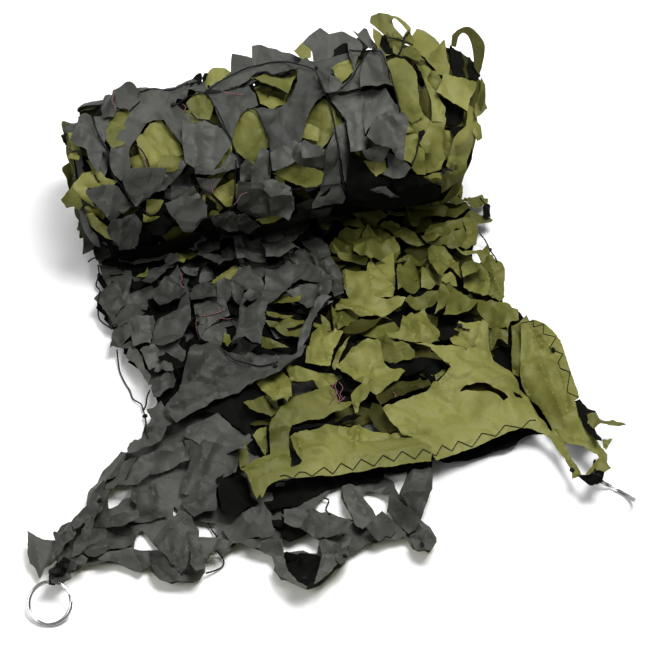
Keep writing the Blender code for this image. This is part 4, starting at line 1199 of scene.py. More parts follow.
# %% Lower layer
LOWER_KNOTS = ((305, 578), (422, 544), (186, 572), (345, 556), (66, 566), (100, 500))
LOWER_BASE = (
    ("dark", 2, ((150, 432), (127, 454), (121, 452, 5), (112, 461, 5), (103, 471, 5), (97, 483, 5),
     (90, 489, 5), (87, 498, 5), (87, 507, 5), (80, 513, 5), (72, 523, 4), (62, 540, 3), (56, 560, 3),
     (60, 570, 2), (72, 574), (77, 572), (85, 567), (100, 565, 3), (110, 564, 4), (120, 566, 4),
     (130, 570, 3), (142, 574, 2), (148, 569, 3), (155, 575, 5), (160, 581, 4), (172, 583, 3), (184, 584, 3),
     (193, 583, 3), (200, 580, 3), (205, 573, 4), (205, 566, 6), (202, 559, 6), (208, 556, 4), (216, 550, 3),
     (221, 549, 3), (222, 556, 2), (230, 552, 3), (236, 546, 4), (240, 543, 4), (244, 546, 3), (256, 550, 4),
     (265, 553, 5), (272, 558, 5), (275, 566, 4), (274, 571, 3), (281, 580, 3), (293, 584, 3), (300, 588, 3),
     (307, 592, 3), (313, 590, 3), (320, 586, 4), (328, 580, 6), (336, 570, 7), (341, 568, 6), (347, 561, 5),
     (350, 555, 5), (360, 549, 4), (369, 544, 3), (376, 544, 3), (383, 541, 3), (395, 540, 3), (405, 540, 4),
     (409, 543, 4), (413, 549, 3), (418, 552, 3), (424, 551, 4), (429, 554, 3), (434, 548, 4), (437, 541, 5),
     (435, 535, 6), (430, 529, 7), (421, 520, 8), (424, 511, 9), (428, 500, 9), (432, 490, 8), (433, 478, 6),
     (432, 466, 3), (430, 420), (400, 390), (300, 360), (200, 370), (160, 396), (152, 420)), ((108, 497),
     (111, 492), (120, 487), (133, 485), (132, 491), (130, 499), (127, 499), (122, 501), (118, 507),
     (113, 511), (109, 511), (108, 505)), ((84, 531), (87, 535), (84, 539), (81, 537)), ((77, 544), (79, 551),
     (75, 551)), ((134, 550), (135, 541), (139, 534), (142, 532), (145, 534), (149, 540), (153, 545),
     (159, 551), (146, 552)), ((174, 507), (179, 512), (176, 520), (173, 515)), ((193, 523), (199, 522),
     (207, 523), (216, 524), (218, 532), (219, 538), (208, 539), (199, 538), (199, 531)), ((282, 540),
     (290, 543), (300, 539), (309, 535), (314, 538), (320, 542), (318, 548), (317, 556), (310, 554),
     (303, 552), (293, 552), (284, 554)), ((324, 498), (330, 492), (341, 488), (341, 499), (344, 505),
     (349, 513), (353, 522), (346, 521), (338, 518), (330, 514), (320, 514), (310, 513), (318, 504)),
     ((364, 499), (363, 496), (366, 493), (371, 493), (380, 495), (389, 498), (388, 505), (387, 512),
     (392, 518), (399, 526), (394, 524), (388, 518), (382, 512), (376, 517), (373, 510), (369, 505)),
     ((384, 474), (390, 476), (398, 475), (406, 472), (407, 477), (404, 484), (399, 495), (395, 490),
     (394, 484), (391, 481), (384, 478)), ((238, 482), (242, 486), (238, 488)), ((229, 497), (234, 492),
     (235, 494), (230, 498))),
)
# The black leaves in these tables are painted shade: the shadow under the flap, under the olive layer's hem
# and in deep creases.
LOWER_LEAVES = (
    ("black", 1, ((180, 424), (200, 400), (240, 380), (262, 390), (270, 420), (268, 440), (250, 440),
     (240, 430), (222, 416), (205, 412))),
    ("black", 2, ((272, 512), (284, 511), (286, 524), (280, 530), (272, 526))),
    ("black", 2, ((282, 525), (300, 529), (308, 534), (290, 543), (281, 538))),
    ("black", 1, ((262, 486), (290, 480), (330, 477), (380, 468), (430, 464), (433, 472), (408, 472),
     (384, 473), (380, 482), (344, 486), (326, 491), (300, 506), (272, 511), (262, 500))),
    ("black", 2, ((431, 462), (447, 464), (465, 462), (480, 458), (493, 453), (508, 450), (517, 445),
     (520, 440), (530, 437), (542, 436), (536, 428), (510, 430), (480, 440), (450, 450))),
    ("black", 1, ((216, 480), (236, 472), (248, 480), (250, 496), (258, 504), (246, 512), (236, 518),
     (222, 512))),
    ("dark", 3, ((88, 530), (105, 529), (120, 527), (130, 530), (134, 537), (132, 545), (124, 549),
     (112, 550), (105, 555), (96, 558), (88, 558), (82, 552))),
    ("dark", 2, ((98, 562), (110, 553), (120, 551), (133, 550), (135, 555), (148, 553), (152, 566),
     (142, 573), (130, 569), (118, 565), (106, 564))),
    ("dark", 5, ((160, 552), (152, 542), (160, 532), (172, 521), (180, 512), (192, 517), (194, 525),
     (199, 533), (199, 540), (194, 548), (190, 560), (186, 572), (181, 577), (172, 566), (166, 558))),
    ("dark", 4, ((134, 486), (150, 486), (156, 487), (160, 498), (165, 508), (169, 518), (155, 521),
     (140, 524), (125, 525), (112, 527), (112, 518), (122, 516), (133, 512), (137, 506), (131, 500),
     (133, 490))),
    ("dark", 3, ((96, 530), (104, 522), (120, 517), (138, 511), (140, 520), (124, 526), (110, 528))),
    ("dark", 7, ((184, 442), (196, 440), (216, 446), (238, 448), (239, 462), (236, 474), (222, 480),
     (216, 490), (217, 505, 5), (216, 512, 5), (205, 513, 5), (194, 518, 5), (183, 508), (181, 502),
     (190, 495), (181, 494), (183, 478), (190, 462))),
    ("dark", 8, ((116, 483), (127, 481), (133, 470), (140, 462), (152, 455), (165, 448), (182, 443),
     (186, 450), (191, 460), (180, 466), (165, 472), (150, 477), (140, 482), (134, 486), (120, 487))),
    ("dark", 9, ((217, 414), (226, 421), (234, 430), (242, 440), (246, 452), (225, 455), (205, 452),
     (184, 437), (187, 428), (202, 422))),
    ("olive", 3, ((238, 450), (240, 444), (244, 440), (247, 450), (249, 460), (248, 467), (240, 470))),
    ("dark", 5, ((240, 517), (250, 511), (258, 508), (265, 510), (271, 514), (272, 524), (275, 530),
     (273, 537), (262, 540), (250, 539), (236, 545), (228, 541), (222, 530), (232, 524))),
    ("dark", 2, ((222, 541), (236, 545), (250, 541), (272, 541), (280, 541), (282, 548), (280, 558),
     (270, 557), (258, 550), (244, 546))),
    ("dark", 6, ((284, 512), (300, 511), (320, 514), (338, 519), (353, 523), (356, 530), (345, 535),
     (330, 538), (320, 541), (309, 534), (296, 529), (284, 524))),
    ("dark", 6, ((342, 487), (352, 486), (362, 488), (363, 497), (368, 505), (374, 513), (377, 519),
     (372, 526), (362, 531), (355, 526), (350, 514), (344, 503))),
    ("dark", 6, ((407, 478), (414, 472), (431, 470), (433, 478), (431, 492), (427, 504), (421, 519),
     (414, 517), (408, 508), (402, 500), (400, 495), (404, 485))),
    ("dark", 3, ((389, 499), (396, 500), (404, 508), (412, 514), (419, 522), (416, 532), (408, 535),
     (400, 527), (392, 517), (388, 511))),
    ("dark", 4, ((376, 518), (382, 512), (388, 518), (396, 525), (401, 528), (406, 538), (390, 540),
     (378, 542), (372, 536), (366, 530))),
    ("dark", 7, ((410, 538), (418, 534), (428, 532), (436, 538), (436, 544), (430, 552), (424, 550),
     (416, 551))),
    ("dark", 6, ((150, 560), (164, 558), (174, 568), (182, 578), (196, 574), (203, 568), (204, 574),
     (198, 581), (184, 584), (170, 583), (160, 581), (154, 574))),
    ("dark", 5, ((196, 540), (212, 540), (226, 540), (236, 545), (224, 550), (210, 554), (204, 560),
     (204, 570), (196, 572), (190, 566), (192, 550))),
    ("black", 4, ((284, 556), (300, 553), (317, 557), (322, 562), (318, 576), (308, 586), (298, 582),
     (288, 572))),
    ("dark", 7, ((318, 544), (330, 540), (344, 536), (352, 540), (346, 552), (340, 562), (332, 572),
     (322, 582), (314, 587), (318, 572), (322, 558))),
    ("dark", 6, ((274, 560), (284, 558), (288, 572), (298, 582), (307, 588), (306, 592), (296, 586),
     (282, 580), (275, 572))),
    ("dark", 8, ((334, 552), (342, 550), (350, 552), (348, 560), (341, 567), (336, 562))),
)
LEFT_CORNER = (
    ("dark", 4, ((28, 532, 9), (33, 537), (42, 540), (55, 542), (61, 545), (64, 552), (60, 560), (52, 566),
     (45, 570), (40, 579), (37, 574), (35, 569), (30, 565), (28, 556))),
    ("dark", 5, ((121, 452), (128, 455), (131, 457), (122, 466), (118, 478), (108, 484), (104, 490),
     (105, 500), (98, 510), (92, 520), (88, 530), (84, 524), (80, 529), (74, 531), (71, 524), (80, 513),
     (87, 507), (87, 498), (90, 489), (97, 483), (103, 471), (112, 461))),
    ("dark", 6, ((53, 533), (62, 528), (72, 523), (77, 530), (74, 540), (66, 545), (62, 552), (56, 560),
     (52, 566), (49, 560), (54, 548), (55, 541))),
    ("dark", 7, ((132, 457), (138, 457), (130, 470), (124, 482), (112, 490), (107, 498), (104, 509),
     (96, 520), (91, 534), (88, 546), (80, 556), (72, 560), (74, 546), (82, 530), (91, 518), (98, 508),
     (103, 497), (107, 487), (117, 478), (122, 466))),
    ("dark", 7, ((62, 556), (70, 552), (80, 554), (88, 560), (86, 567), (78, 569), (76, 573), (70, 573),
     (72, 579), (66, 583), (60, 586), (52, 584), (50, 578), (54, 568))),
    ("black", 8, ((56, 566), (64, 558), (71, 561), (68, 568), (66, 576), (58, 580), (54, 574))),
)
LOWER_CREASES = (
    (128, 460, 104, 496, 1.8, 2.5), (118, 458, 98, 488, -1.6, 2.0), (104, 494, 80, 530, 1.8, 2.5),
    (96, 492, 78, 522, -1.6, 2.0), (138, 462, 126, 482, -1.4, 2.5), (166, 450, 136, 480, 1.6, 4.0),
    (186, 452, 150, 472, 1.4, 4.0), (152, 488, 156, 518, 1.6, 2.5), (140, 490, 136, 520, -1.3, 3.0),
    (110, 514, 134, 506, 1.3, 2.5), (205, 440, 200, 510, 1.8, 5.0), (190, 446, 186, 500, -1.5, 3.0),
    (220, 450, 206, 476, 1.4, 4.0), (240, 446, 222, 440, -1.6, 3.0), (92, 534, 130, 530, 1.4, 3.0),
    (90, 552, 124, 538, -1.6, 3.0), (66, 546, 56, 570, 1.8, 2.0), (60, 540, 80, 548, -1.6, 2.0),
    (170, 530, 176, 566, 1.6, 4.0), (186, 528, 190, 560, 1.4, 3.0), (192, 560, 186, 580, 1.8, 2.0),
    (162, 562, 180, 578, 1.8, 2.0), (156, 568, 170, 582, -1.6, 2.0), (200, 556, 196, 576, -1.4, 2.0),
    (240, 522, 268, 518, 1.5, 4.0), (250, 540, 264, 520, 1.3, 3.0), (280, 556, 306, 588, 1.8, 2.5),
    (296, 556, 304, 586, -1.4, 3.0), (322, 552, 310, 586, 1.8, 2.5), (336, 556, 318, 582, -1.5, 2.0),
    (288, 516, 344, 524, 1.2, 4.0), (330, 536, 352, 526, 1.4, 3.0), (346, 492, 366, 524, 1.6, 3.0),
    (352, 488, 372, 516, -1.2, 2.5), (362, 488, 384, 492, 1.2, 3.0), (390, 500, 418, 530, 1.8, 3.0),
    (400, 500, 424, 532, -1.4, 2.0), (430, 470, 424, 512, 1.5, 5.0), (412, 478, 410, 506, 1.2, 4.0),
    (414, 540, 432, 534, 1.6, 2.0), (416, 548, 434, 542, -1.4, 2.0), (346, 540, 338, 560, 1.8, 2.0),
    (372, 530, 368, 542, 1.2, 2.5), (34, 540, 40, 572, 1.4, 4.0),
)
lower_cloth = Cloth("lower_layer", lower_ground, seed=31, knots=LOWER_KNOTS, creases=LOWER_CREASES)
lower_cloth.leaves(LOWER_BASE, amount=0, grain=6.0, belly=0.0, press=1.0)
lower_cloth.leaves(LOWER_LEAVES + LEFT_CORNER, amount=2.1)
lower_layer, lower_area = lower_cloth.make()

# %% [markdown]
# The olive layer lies on it, olive face up, and is the deepest part of the loose end: large leaves, curled
# over, with black hollows between them. A sheet beneath them is coloured near-black, as painted shade for
# those hollows.

# %% Olive layer
OLIVE_BASE = (
    ("black", 0, ((322, 292), (318, 264), (298, 244), (300, 204), (330, 204), (360, 204), (400, 205),
     (440, 200), (470, 206), (474, 240), (472, 256), (492, 268), (494, 296), (510, 318), (514, 340),
     (530, 340), (548, 356), (560, 382), (572, 412), (588, 440), (560, 436), (544, 428), (520, 426),
     (490, 434), (450, 448), (400, 458), (350, 466), (300, 470), (268, 476), (246, 474), (238, 452),
     (246, 430), (228, 408), (250, 384), (290, 366), (300, 340), (314, 312), (334, 296), (330, 260))),
)
# The black and shade leaves in the olive tables are painted shade, for hollows and for leaves that lie in
# shade.
OLIVE_LEAVES = (
    ("black", 2, ((506, 318), (518, 312), (527, 322), (530, 338), (516, 346), (508, 336))),
    ("black", 1, ((560, 406), (570, 403), (580, 407), (590, 420), (598, 438), (590, 442), (578, 428),
     (566, 414))),
    ("dark", 1, ((322, 206), (340, 209), (356, 216), (345, 219), (323, 217))),
    ("dark", 3, ((316, 206), (332, 204), (334, 220), (326, 236), (318, 228))),
    ("olive", 6, ((326, 204, 9), (334, 207, 9), (342, 208, 8), (352, 206), (362, 205), (372, 205), (378, 209),
     (384, 214), (388, 216), (380, 221), (374, 226), (367, 231), (362, 226), (358, 217), (350, 213),
     (338, 209, 8))),
    ("olive", 5, ((326, 217, 8), (340, 219), (350, 219), (359, 220), (362, 226), (366, 231), (354, 228),
     (342, 224, 6), (333, 221, 7))),
    ("olive", 2, ((320, 229), (324, 224), (328, 223), (330, 228), (328, 233), (323, 230))),
    ("olive", 4, ((386, 211), (396, 213), (406, 213), (405, 217), (396, 217), (388, 215))),
    ("olive", 5, ((373, 227), (378, 224), (384, 222), (392, 222), (398, 225), (411, 231), (418, 238),
     (425, 247), (418, 248), (408, 244), (396, 238), (390, 232), (382, 227))),
    ("olive", 6, ((406, 206), (414, 203), (423, 199), (427, 204), (434, 205), (442, 201), (452, 206),
     (463, 205), (470, 210), (462, 215), (455, 219), (446, 217), (436, 216), (426, 217), (420, 220),
     (417, 228), (412, 226), (408, 220))),
    ("olive", 5, ((434, 195), (442, 193), (453, 192), (459, 192), (461, 199), (463, 206), (456, 207),
     (448, 201), (440, 197))),
    ("olive", 8, ((452, 191), (456, 188), (462, 186), (463, 188), (462, 200), (458, 196))),
    ("olive", 6, ((462, 203), (472, 199), (482, 196), (484, 199), (488, 200), (488, 204), (483, 206),
     (478, 209), (471, 212), (476, 214), (484, 218), (491, 219), (493, 221), (488, 224), (480, 225),
     (477, 230), (478, 235), (476, 244), (476, 252), (466, 251), (461, 248), (466, 240), (466, 230),
     (458, 222), (466, 216), (474, 212), (470, 209))),
    ("black", 5, ((483, 206), (488, 204), (490, 208), (490, 216), (488, 219), (483, 217))),
    ("olive", 4, ((425, 245), (436, 241, 11), (448, 236, 12), (458, 232, 12), (464, 230, 10), (467, 237),
     (464, 245), (459, 250), (450, 252), (440, 249))),
    ("olive", 5, ((421, 238), (430, 229), (440, 224), (452, 222), (460, 225), (465, 230, 10), (456, 233, 12),
     (444, 238, 13), (434, 242, 12), (426, 244, 8))),
    ("olive", 5, ((329, 246), (334, 239), (340, 233), (346, 228), (354, 230), (364, 231), (360, 238),
     (354, 245), (352, 256), (340, 255), (332, 254))),
    ("olive", 4, ((331, 256), (340, 256), (352, 255), (360, 257), (370, 261), (366, 268), (358, 266),
     (348, 264), (338, 261))),
    ("olive", 7, ((342, 273), (352, 272), (366, 273), (368, 266), (371, 262), (380, 264), (393, 265),
     (395, 280), (395, 291), (393, 298, 9), (380, 300, 9), (362, 300, 9), (348, 299), (344, 292),
     (343, 282))),
    ("olive", 7, ((366, 231), (374, 228), (380, 228), (387, 231), (393, 237), (400, 248), (400, 255),
     (394, 264), (382, 264), (371, 261), (360, 257), (353, 252), (354, 245), (360, 239))),
    ("olive", 4, ((396, 279), (398, 271), (403, 267), (410, 265), (416, 267), (419, 273), (420, 288),
     (416, 294), (406, 293), (398, 292))),
    ("olive", 9, ((394, 264), (400, 259), (408, 256), (414, 258), (420, 263), (426, 269), (420, 268),
     (414, 263), (408, 260), (400, 263))),
    ("olive", 3, ((421, 270), (430, 268), (438, 273), (443, 280), (440, 287), (428, 291), (421, 289))),
    ("olive", 3, ((410, 296), (420, 297), (432, 292), (438, 292), (438, 302), (430, 308), (416, 312),
     (408, 306), (402, 302))),
    ("olive", 7, ((428, 249), (436, 248), (444, 250), (452, 258), (458, 266), (461, 279), (455, 274),
     (450, 275), (442, 277), (436, 272), (430, 264))),
    ("olive", 9, ((438, 275), (444, 276), (450, 275), (455, 280), (457, 288), (452, 290), (446, 287),
     (442, 282))),
    ("olive", 6, ((452, 257), (463, 252), (476, 252), (486, 255), (494, 261), (503, 266, 8, R),
     (505, 274, 8, R), (504, 286), (504, 299), (500, 303), (492, 301), (488, 297), (490, 286), (490, 277),
     (484, 269), (476, 263), (466, 259))),
    ("olive", 5, ((463, 278), (470, 273), (478, 271), (484, 272), (490, 278), (490, 286), (488, 296),
     (482, 298), (472, 293), (464, 288))),
    ("olive", 10, ((461, 269), (465, 263), (472, 261), (478, 265), (485, 270), (491, 278), (484, 274),
     (478, 272), (470, 275), (463, 278))),
    ("olive", 6, ((447, 287), (456, 291), (466, 296), (480, 301), (476, 306), (470, 311), (460, 316),
     (450, 321), (444, 322), (443, 316), (447, 306))),
    ("olive", 11, ((441, 284), (446, 287), (449, 297), (447, 307), (443, 311), (438, 312), (434, 316),
     (437, 306), (438, 296))),
    ("olive", 7, ((478, 301), (492, 301), (504, 304), (512, 308), (518, 311), (519, 321), (510, 323),
     (508, 330), (498, 330), (492, 327), (484, 320), (477, 312))),
    ("olive", 5, ((492, 327), (508, 331), (508, 346), (502, 342), (497, 340), (491, 350), (489, 338))),
    ("olive", 6, ((511, 326), (520, 323), (521, 350), (519, 374), (513, 373), (511, 358), (512, 344))),
    ("olive", 3, ((313, 328), (314, 320), (319, 317), (325, 319), (330, 326), (331, 332), (321, 331))),
    ("olive", 6, ((331, 312), (335, 313), (337, 322), (337, 332), (334, 332), (333, 322))),
    ("olive", 5, ((335, 313), (350, 311), (360, 318), (352, 324), (344, 330), (338, 333), (336, 324))),
    ("olive", 8, ((334, 312), (341, 302), (352, 300), (370, 299), (393, 299), (406, 298), (402, 306),
     (394, 313), (384, 318), (370, 320), (360, 318), (350, 312))),
    ("olive", 3, ((344, 336), (358, 333), (372, 329), (386, 324), (394, 323), (400, 332), (400, 340),
     (386, 341), (370, 338), (358, 334))),
    ("shade", 3, ((340, 333), (352, 324), (362, 320), (376, 321), (386, 318), (393, 322), (382, 327),
     (366, 332), (352, 335))),
    ("olive", 7, ((399, 333), (403, 325), (412, 322), (414, 316), (424, 317), (432, 325), (440, 333),
     (440, 342), (430, 346), (416, 344), (402, 341), (388, 340), (384, 335))),
    ("olive", 9, ((305, 365), (306, 354), (310, 342), (312, 334), (317, 331), (326, 331), (343, 334),
     (339, 342), (334, 350), (332, 358), (330, 368), (318, 367))),
    ("olive", 3, ((335, 369), (332, 366), (336, 354), (343, 346), (350, 340), (346, 350), (341, 358),
     (338, 364))),
    ("olive", 6, ((283, 371), (288, 367), (296, 367), (305, 370), (315, 373), (326, 374), (337, 377),
     (343, 379), (336, 385), (330, 387), (320, 387), (312, 383), (300, 384), (291, 385))),
    ("olive", 6, ((256, 384), (262, 379), (268, 374), (275, 370), (282, 372), (289, 380), (291, 388),
     (293, 396), (287, 403), (281, 407), (276, 402), (269, 397), (262, 391))),
    ("olive", 3, ((243, 403), (248, 401), (256, 401), (265, 398), (274, 402), (280, 408), (277, 413),
     (272, 420), (266, 416), (258, 413), (250, 410))),
    ("olive", 3, ((253, 437), (256, 432), (261, 429), (266, 430), (267, 440), (268, 452), (265, 456),
     (260, 448), (256, 443))),
    ("black", 3, ((350, 380), (362, 384), (364, 390), (352, 396), (342, 392), (340, 384))),
    ("olive", 7, ((379, 341), (388, 342), (398, 342), (408, 345), (414, 351), (415, 358), (410, 361),
     (400, 362), (390, 364), (383, 364), (381, 355))),
    ("olive", 8, ((335, 369), (341, 361), (347, 354), (354, 349), (362, 345), (368, 341), (378, 341),
     (381, 347), (382, 356), (384, 365), (392, 370), (400, 376), (405, 379), (396, 384), (388, 389),
     (380, 394), (376, 397), (370, 394), (367, 399), (360, 405), (358, 413, 11), (355, 414, 11), (352, 405),
     (351, 395), (357, 389), (362, 386), (352, 378), (342, 373))),
    ("olive", 3, ((424, 370), (434, 366), (446, 371), (444, 378), (436, 384), (430, 376))),
    ("olive", 4, ((449, 340), (458, 330), (468, 326), (480, 321), (488, 324), (489, 340), (480, 350),
     (462, 352))),
    ("olive", 7, ((293, 397), (300, 394), (308, 390), (318, 388), (330, 387), (336, 392), (338, 402),
     (352, 404), (350, 408), (338, 412), (328, 417), (319, 421), (308, 422), (299, 424), (292, 430),
     (289, 437), (289, 448), (290, 458), (280, 457), (270, 455), (270, 443), (269, 432), (272, 422),
     (278, 412), (281, 407), (287, 403))),
)
OLIVE_FRONT = (
    ("black", 3, ((386, 364), (402, 360), (420, 359), (440, 361), (450, 369), (440, 382), (432, 389),
     (424, 370), (406, 377), (398, 372))),
    ("black", 4, ((438, 340), (444, 330), (456, 326), (460, 332), (452, 336), (446, 344))),
    ("shade", 4, ((375, 395), (385, 390), (400, 384), (420, 378), (432, 388), (420, 392), (405, 398),
     (390, 404), (380, 408))),
    ("shade", 4, ((372, 404), (382, 408), (390, 420), (398, 432), (385, 434), (374, 428), (368, 414))),
    ("black", 3, ((290, 436), (294, 430), (304, 426), (322, 425), (342, 420), (354, 415), (362, 418),
     (352, 425), (330, 430), (310, 433))),
    ("shade", 3, ((454, 402), (464, 388), (480, 383), (496, 387), (512, 398), (524, 404), (506, 410),
     (480, 404), (466, 404))),
    ("olive", 9, ((240, 470), (248, 467), (256, 461), (264, 457), (274, 455), (284, 457), (291, 460),
     (291, 468), (300, 466), (302, 462), (297, 455), (293, 447), (290, 438), (300, 434), (322, 430),
     (340, 429), (356, 427), (366, 430), (374, 433), (384, 434), (400, 432), (406, 438), (418, 440),
     (426, 446), (432, 454), (431, 462), (410, 464), (385, 468), (352, 474), (330, 477), (310, 478),
     (290, 479), (272, 484), (267, 488), (265, 493), (262, 500), (260, 495), (257, 500), (253, 492),
     (251, 485), (247, 476))),
    ("olive", 10, ((414, 344), (430, 348), (442, 361), (451, 370), (445, 378), (438, 385), (430, 389),
     (418, 396), (406, 401), (394, 405), (383, 409), (388, 418), (396, 427), (404, 436), (412, 438),
     (420, 443), (430, 453), (436, 461), (448, 458), (462, 452), (478, 447), (492, 440), (506, 434),
     (520, 429), (532, 430), (542, 434), (549, 438), (551, 433), (546, 424), (538, 413), (530, 403),
     (522, 392), (518, 380), (514, 374), (505, 369), (494, 362), (490, 354), (489, 340), (487, 324),
     (482, 322), (478, 334), (474, 344), (477, 349), (466, 351), (452, 349), (440, 346), (428, 345)),
     ((459, 399), (466, 391), (476, 388), (490, 390), (500, 395), (508, 402), (503, 405), (497, 400),
     (486, 396), (474, 396), (466, 397)), ((512, 397), (520, 399), (523, 402), (515, 401))),
    ("olive", 9, ((520, 322), (526, 319, 9, R), (534, 320, 9, R), (545, 326, 9, R), (552, 331, 9, R),
     (558, 338, 9, R), (562, 346, 9, R), (565, 354), (567, 363), (571, 372), (575, 384), (577, 392),
     (579, 400), (574, 404), (577, 413), (582, 423), (589, 434), (597, 444), (603, 452), (602, 458),
     (594, 455), (584, 448), (574, 446), (564, 443), (560, 438), (556, 430), (552, 428), (546, 416),
     (538, 404), (530, 394), (524, 384), (520, 372), (521, 350))),
    ("olive", 6, ((548, 437), (554, 428), (558, 436), (564, 443), (568, 452), (573, 462), (578, 468),
     (581, 474), (583, 480), (578, 478), (572, 480), (571, 470), (566, 463), (560, 455), (554, 448))),
    ("olive", 7, ((595, 454), (603, 450), (607, 456), (607, 464), (611, 469), (604, 473), (599, 471),
     (593, 473), (589, 476), (585, 478), (589, 470), (594, 465), (599, 460))),
    ("olive", 6, ((602, 441), (612, 440), (609, 446), (606, 452), (603, 449))),
    ("black", 6, ((574, 405), (579, 402), (582, 406), (587, 410), (595, 412), (597, 416), (588, 417),
     (594, 424), (593, 431), (599, 438), (602, 443), (595, 443), (588, 434), (582, 424), (577, 413))),
    ("black", 5, ((577, 477), (590, 475), (597, 470), (604, 472), (603, 480), (598, 486), (590, 487),
     (585, 483))),
    ("olive", 8, ((587, 416), (595, 415), (599, 421), (606, 422), (613, 421), (620, 423), (626, 426),
     (616, 427), (606, 426), (598, 425), (593, 430), (587, 424))),
)
OLIVE_KNOTS = ((338, 388), (460, 326), (553, 350), (488, 212), (572, 470))
OLIVE_CREASES = (
    # px and py of both ends, height and width in millimetres
    (404, 431, 436, 446, -1.2, 2.5), (392, 404, 440, 384, 2.2, 6.0), (383, 409, 402, 394, 1.6, 4.0),
    (440, 396, 480, 384, 1.0, 9.0), (446, 352, 484, 366, 1.4, 5.0), (456, 350, 492, 362, -1.0, 3.0),
    (455, 334, 476, 350, -2.2, 3.5), (490, 330, 492, 356, -2.4, 2.5), (500, 366, 520, 396, -1.6, 3.0),
    (460, 402, 436, 424, 1.0, 3.0), (432, 418, 434, 400, 0.8, 3.0), (484, 424, 510, 404, 0.9, 5.0),
    (520, 400, 540, 424, -1.6, 2.5), (524, 404, 536, 430, 1.5, 3.0), (522, 332, 537, 358, 1.8, 2.0),
    (527, 330, 541, 356, -1.8, 2.0), (515, 374, 526, 394, -3.2, 3.0), (526, 392, 548, 436, -3.2, 4.0),
    (536, 372, 562, 430, 3.0, 5.0), (550, 372, 572, 418, 2.2, 6.0), (541, 366, 558, 372, -1.2, 2.5),
    (562, 384, 566, 420, -1.8, 3.5), (556, 330, 574, 388, -1.2, 2.0), (534, 342, 552, 360, 1.6, 4.0),
    (548, 436, 566, 462, 1.6, 2.5), (572, 448, 598, 458, 1.2, 3.0), (359, 431, 356, 455, 2.4, 2.5),
    (350, 440, 351, 455, -1.2, 2.0), (387, 434, 392, 446, -1.6, 2.0), (310, 464, 350, 452, 1.0, 4.0),
    (356, 452, 424, 440, -1.8, 3.5), (306, 446, 344, 440, 1.3, 7.0), (292, 440, 302, 462, 2.0, 3.0),
    (250, 478, 284, 469, 2.4, 3.0), (254, 486, 270, 480, -1.2, 2.0), (276, 412, 318, 397, -2.8, 3.5),
    (282, 403, 322, 391, 2.0, 4.0), (270, 436, 286, 432, 2.0, 6.0), (286, 374, 293, 396, 2.2, 3.0),
    (272, 374, 262, 390, 1.4, 4.0), (300, 368, 340, 378, -1.6, 3.0), (368, 398, 370, 380, 1.8, 4.0),
    (350, 350, 380, 364, 1.4, 5.0), (382, 344, 384, 364, 2.0, 3.0), (342, 372, 362, 384, -1.8, 3.0),
    (356, 414, 362, 398, 1.6, 2.5), (344, 273, 346, 298, 1.6, 3.0), (368, 266, 392, 296, 1.6, 3.0),
    (366, 268, 372, 298, 1.2, 3.0), (372, 262, 366, 232, 1.3, 3.0), (378, 230, 400, 252, -1.6, 3.0),
    (366, 240, 392, 258, 1.8, 3.0), (340, 214, 368, 228, -1.6, 2.5), (414, 204, 460, 212, 1.4, 3.0),
    (440, 196, 460, 206, 1.6, 2.5), (466, 216, 476, 250, 2.0, 3.0), (430, 240, 464, 232, 2.8, 4.0),
    (446, 236, 452, 252, 1.4, 4.0), (436, 250, 458, 276, 1.8, 3.0), (470, 254, 502, 270, -1.8, 3.0),
    (488, 272, 498, 300, 2.0, 3.0), (470, 276, 484, 298, 1.4, 3.0), (450, 290, 446, 320, 2.6, 3.0),
    (458, 296, 462, 314, -1.6, 3.0), (490, 302, 508, 328, 1.6, 3.0), (345, 312, 400, 304, 1.4, 4.0),
    (400, 330, 430, 340, 1.6, 4.0), (404, 326, 414, 344, -1.4, 3.0), (318, 334, 326, 366, 1.6, 4.0),
    (334, 334, 322, 350, -1.6, 3.0),
)
olive_cloth = Cloth("olive_layer_cloth", olive_ground, seed=57, knots=OLIVE_KNOTS, creases=OLIVE_CREASES)
olive_cloth.leaves(OLIVE_BASE, amount=0, grain=7.0, belly=0.0, sink=10.0)
OLIVE_DEPTHS = (
    (334, 214), (400, 206), (474, 206), (472, 256), (494, 268), (494, 296), (512, 318), (512, 340),
    (480, 350), (400, 400), (300, 440), (262, 460), (250, 430), (262, 400), (300, 350), (330, 300),
    (326, 250),
)
olive_cloth.fill_under(OLIVE_DEPTHS, ("shade", "black"), 20.0, (4.0, 8.0), seed=71)
olive_cloth.leaves(OLIVE_LEAVES, amount=2.2, press=3.2)
olive_cloth.leaves(OLIVE_FRONT, amount=1.1, belly=3.0)
olive_sheet, olive_area = olive_cloth.make()

# %% [markdown]
# The flap comes back over the left half of the olive layer with its charcoal face up. It is the most
# crumpled part: its leaves are small and stacked, and four knots of the net gather them.

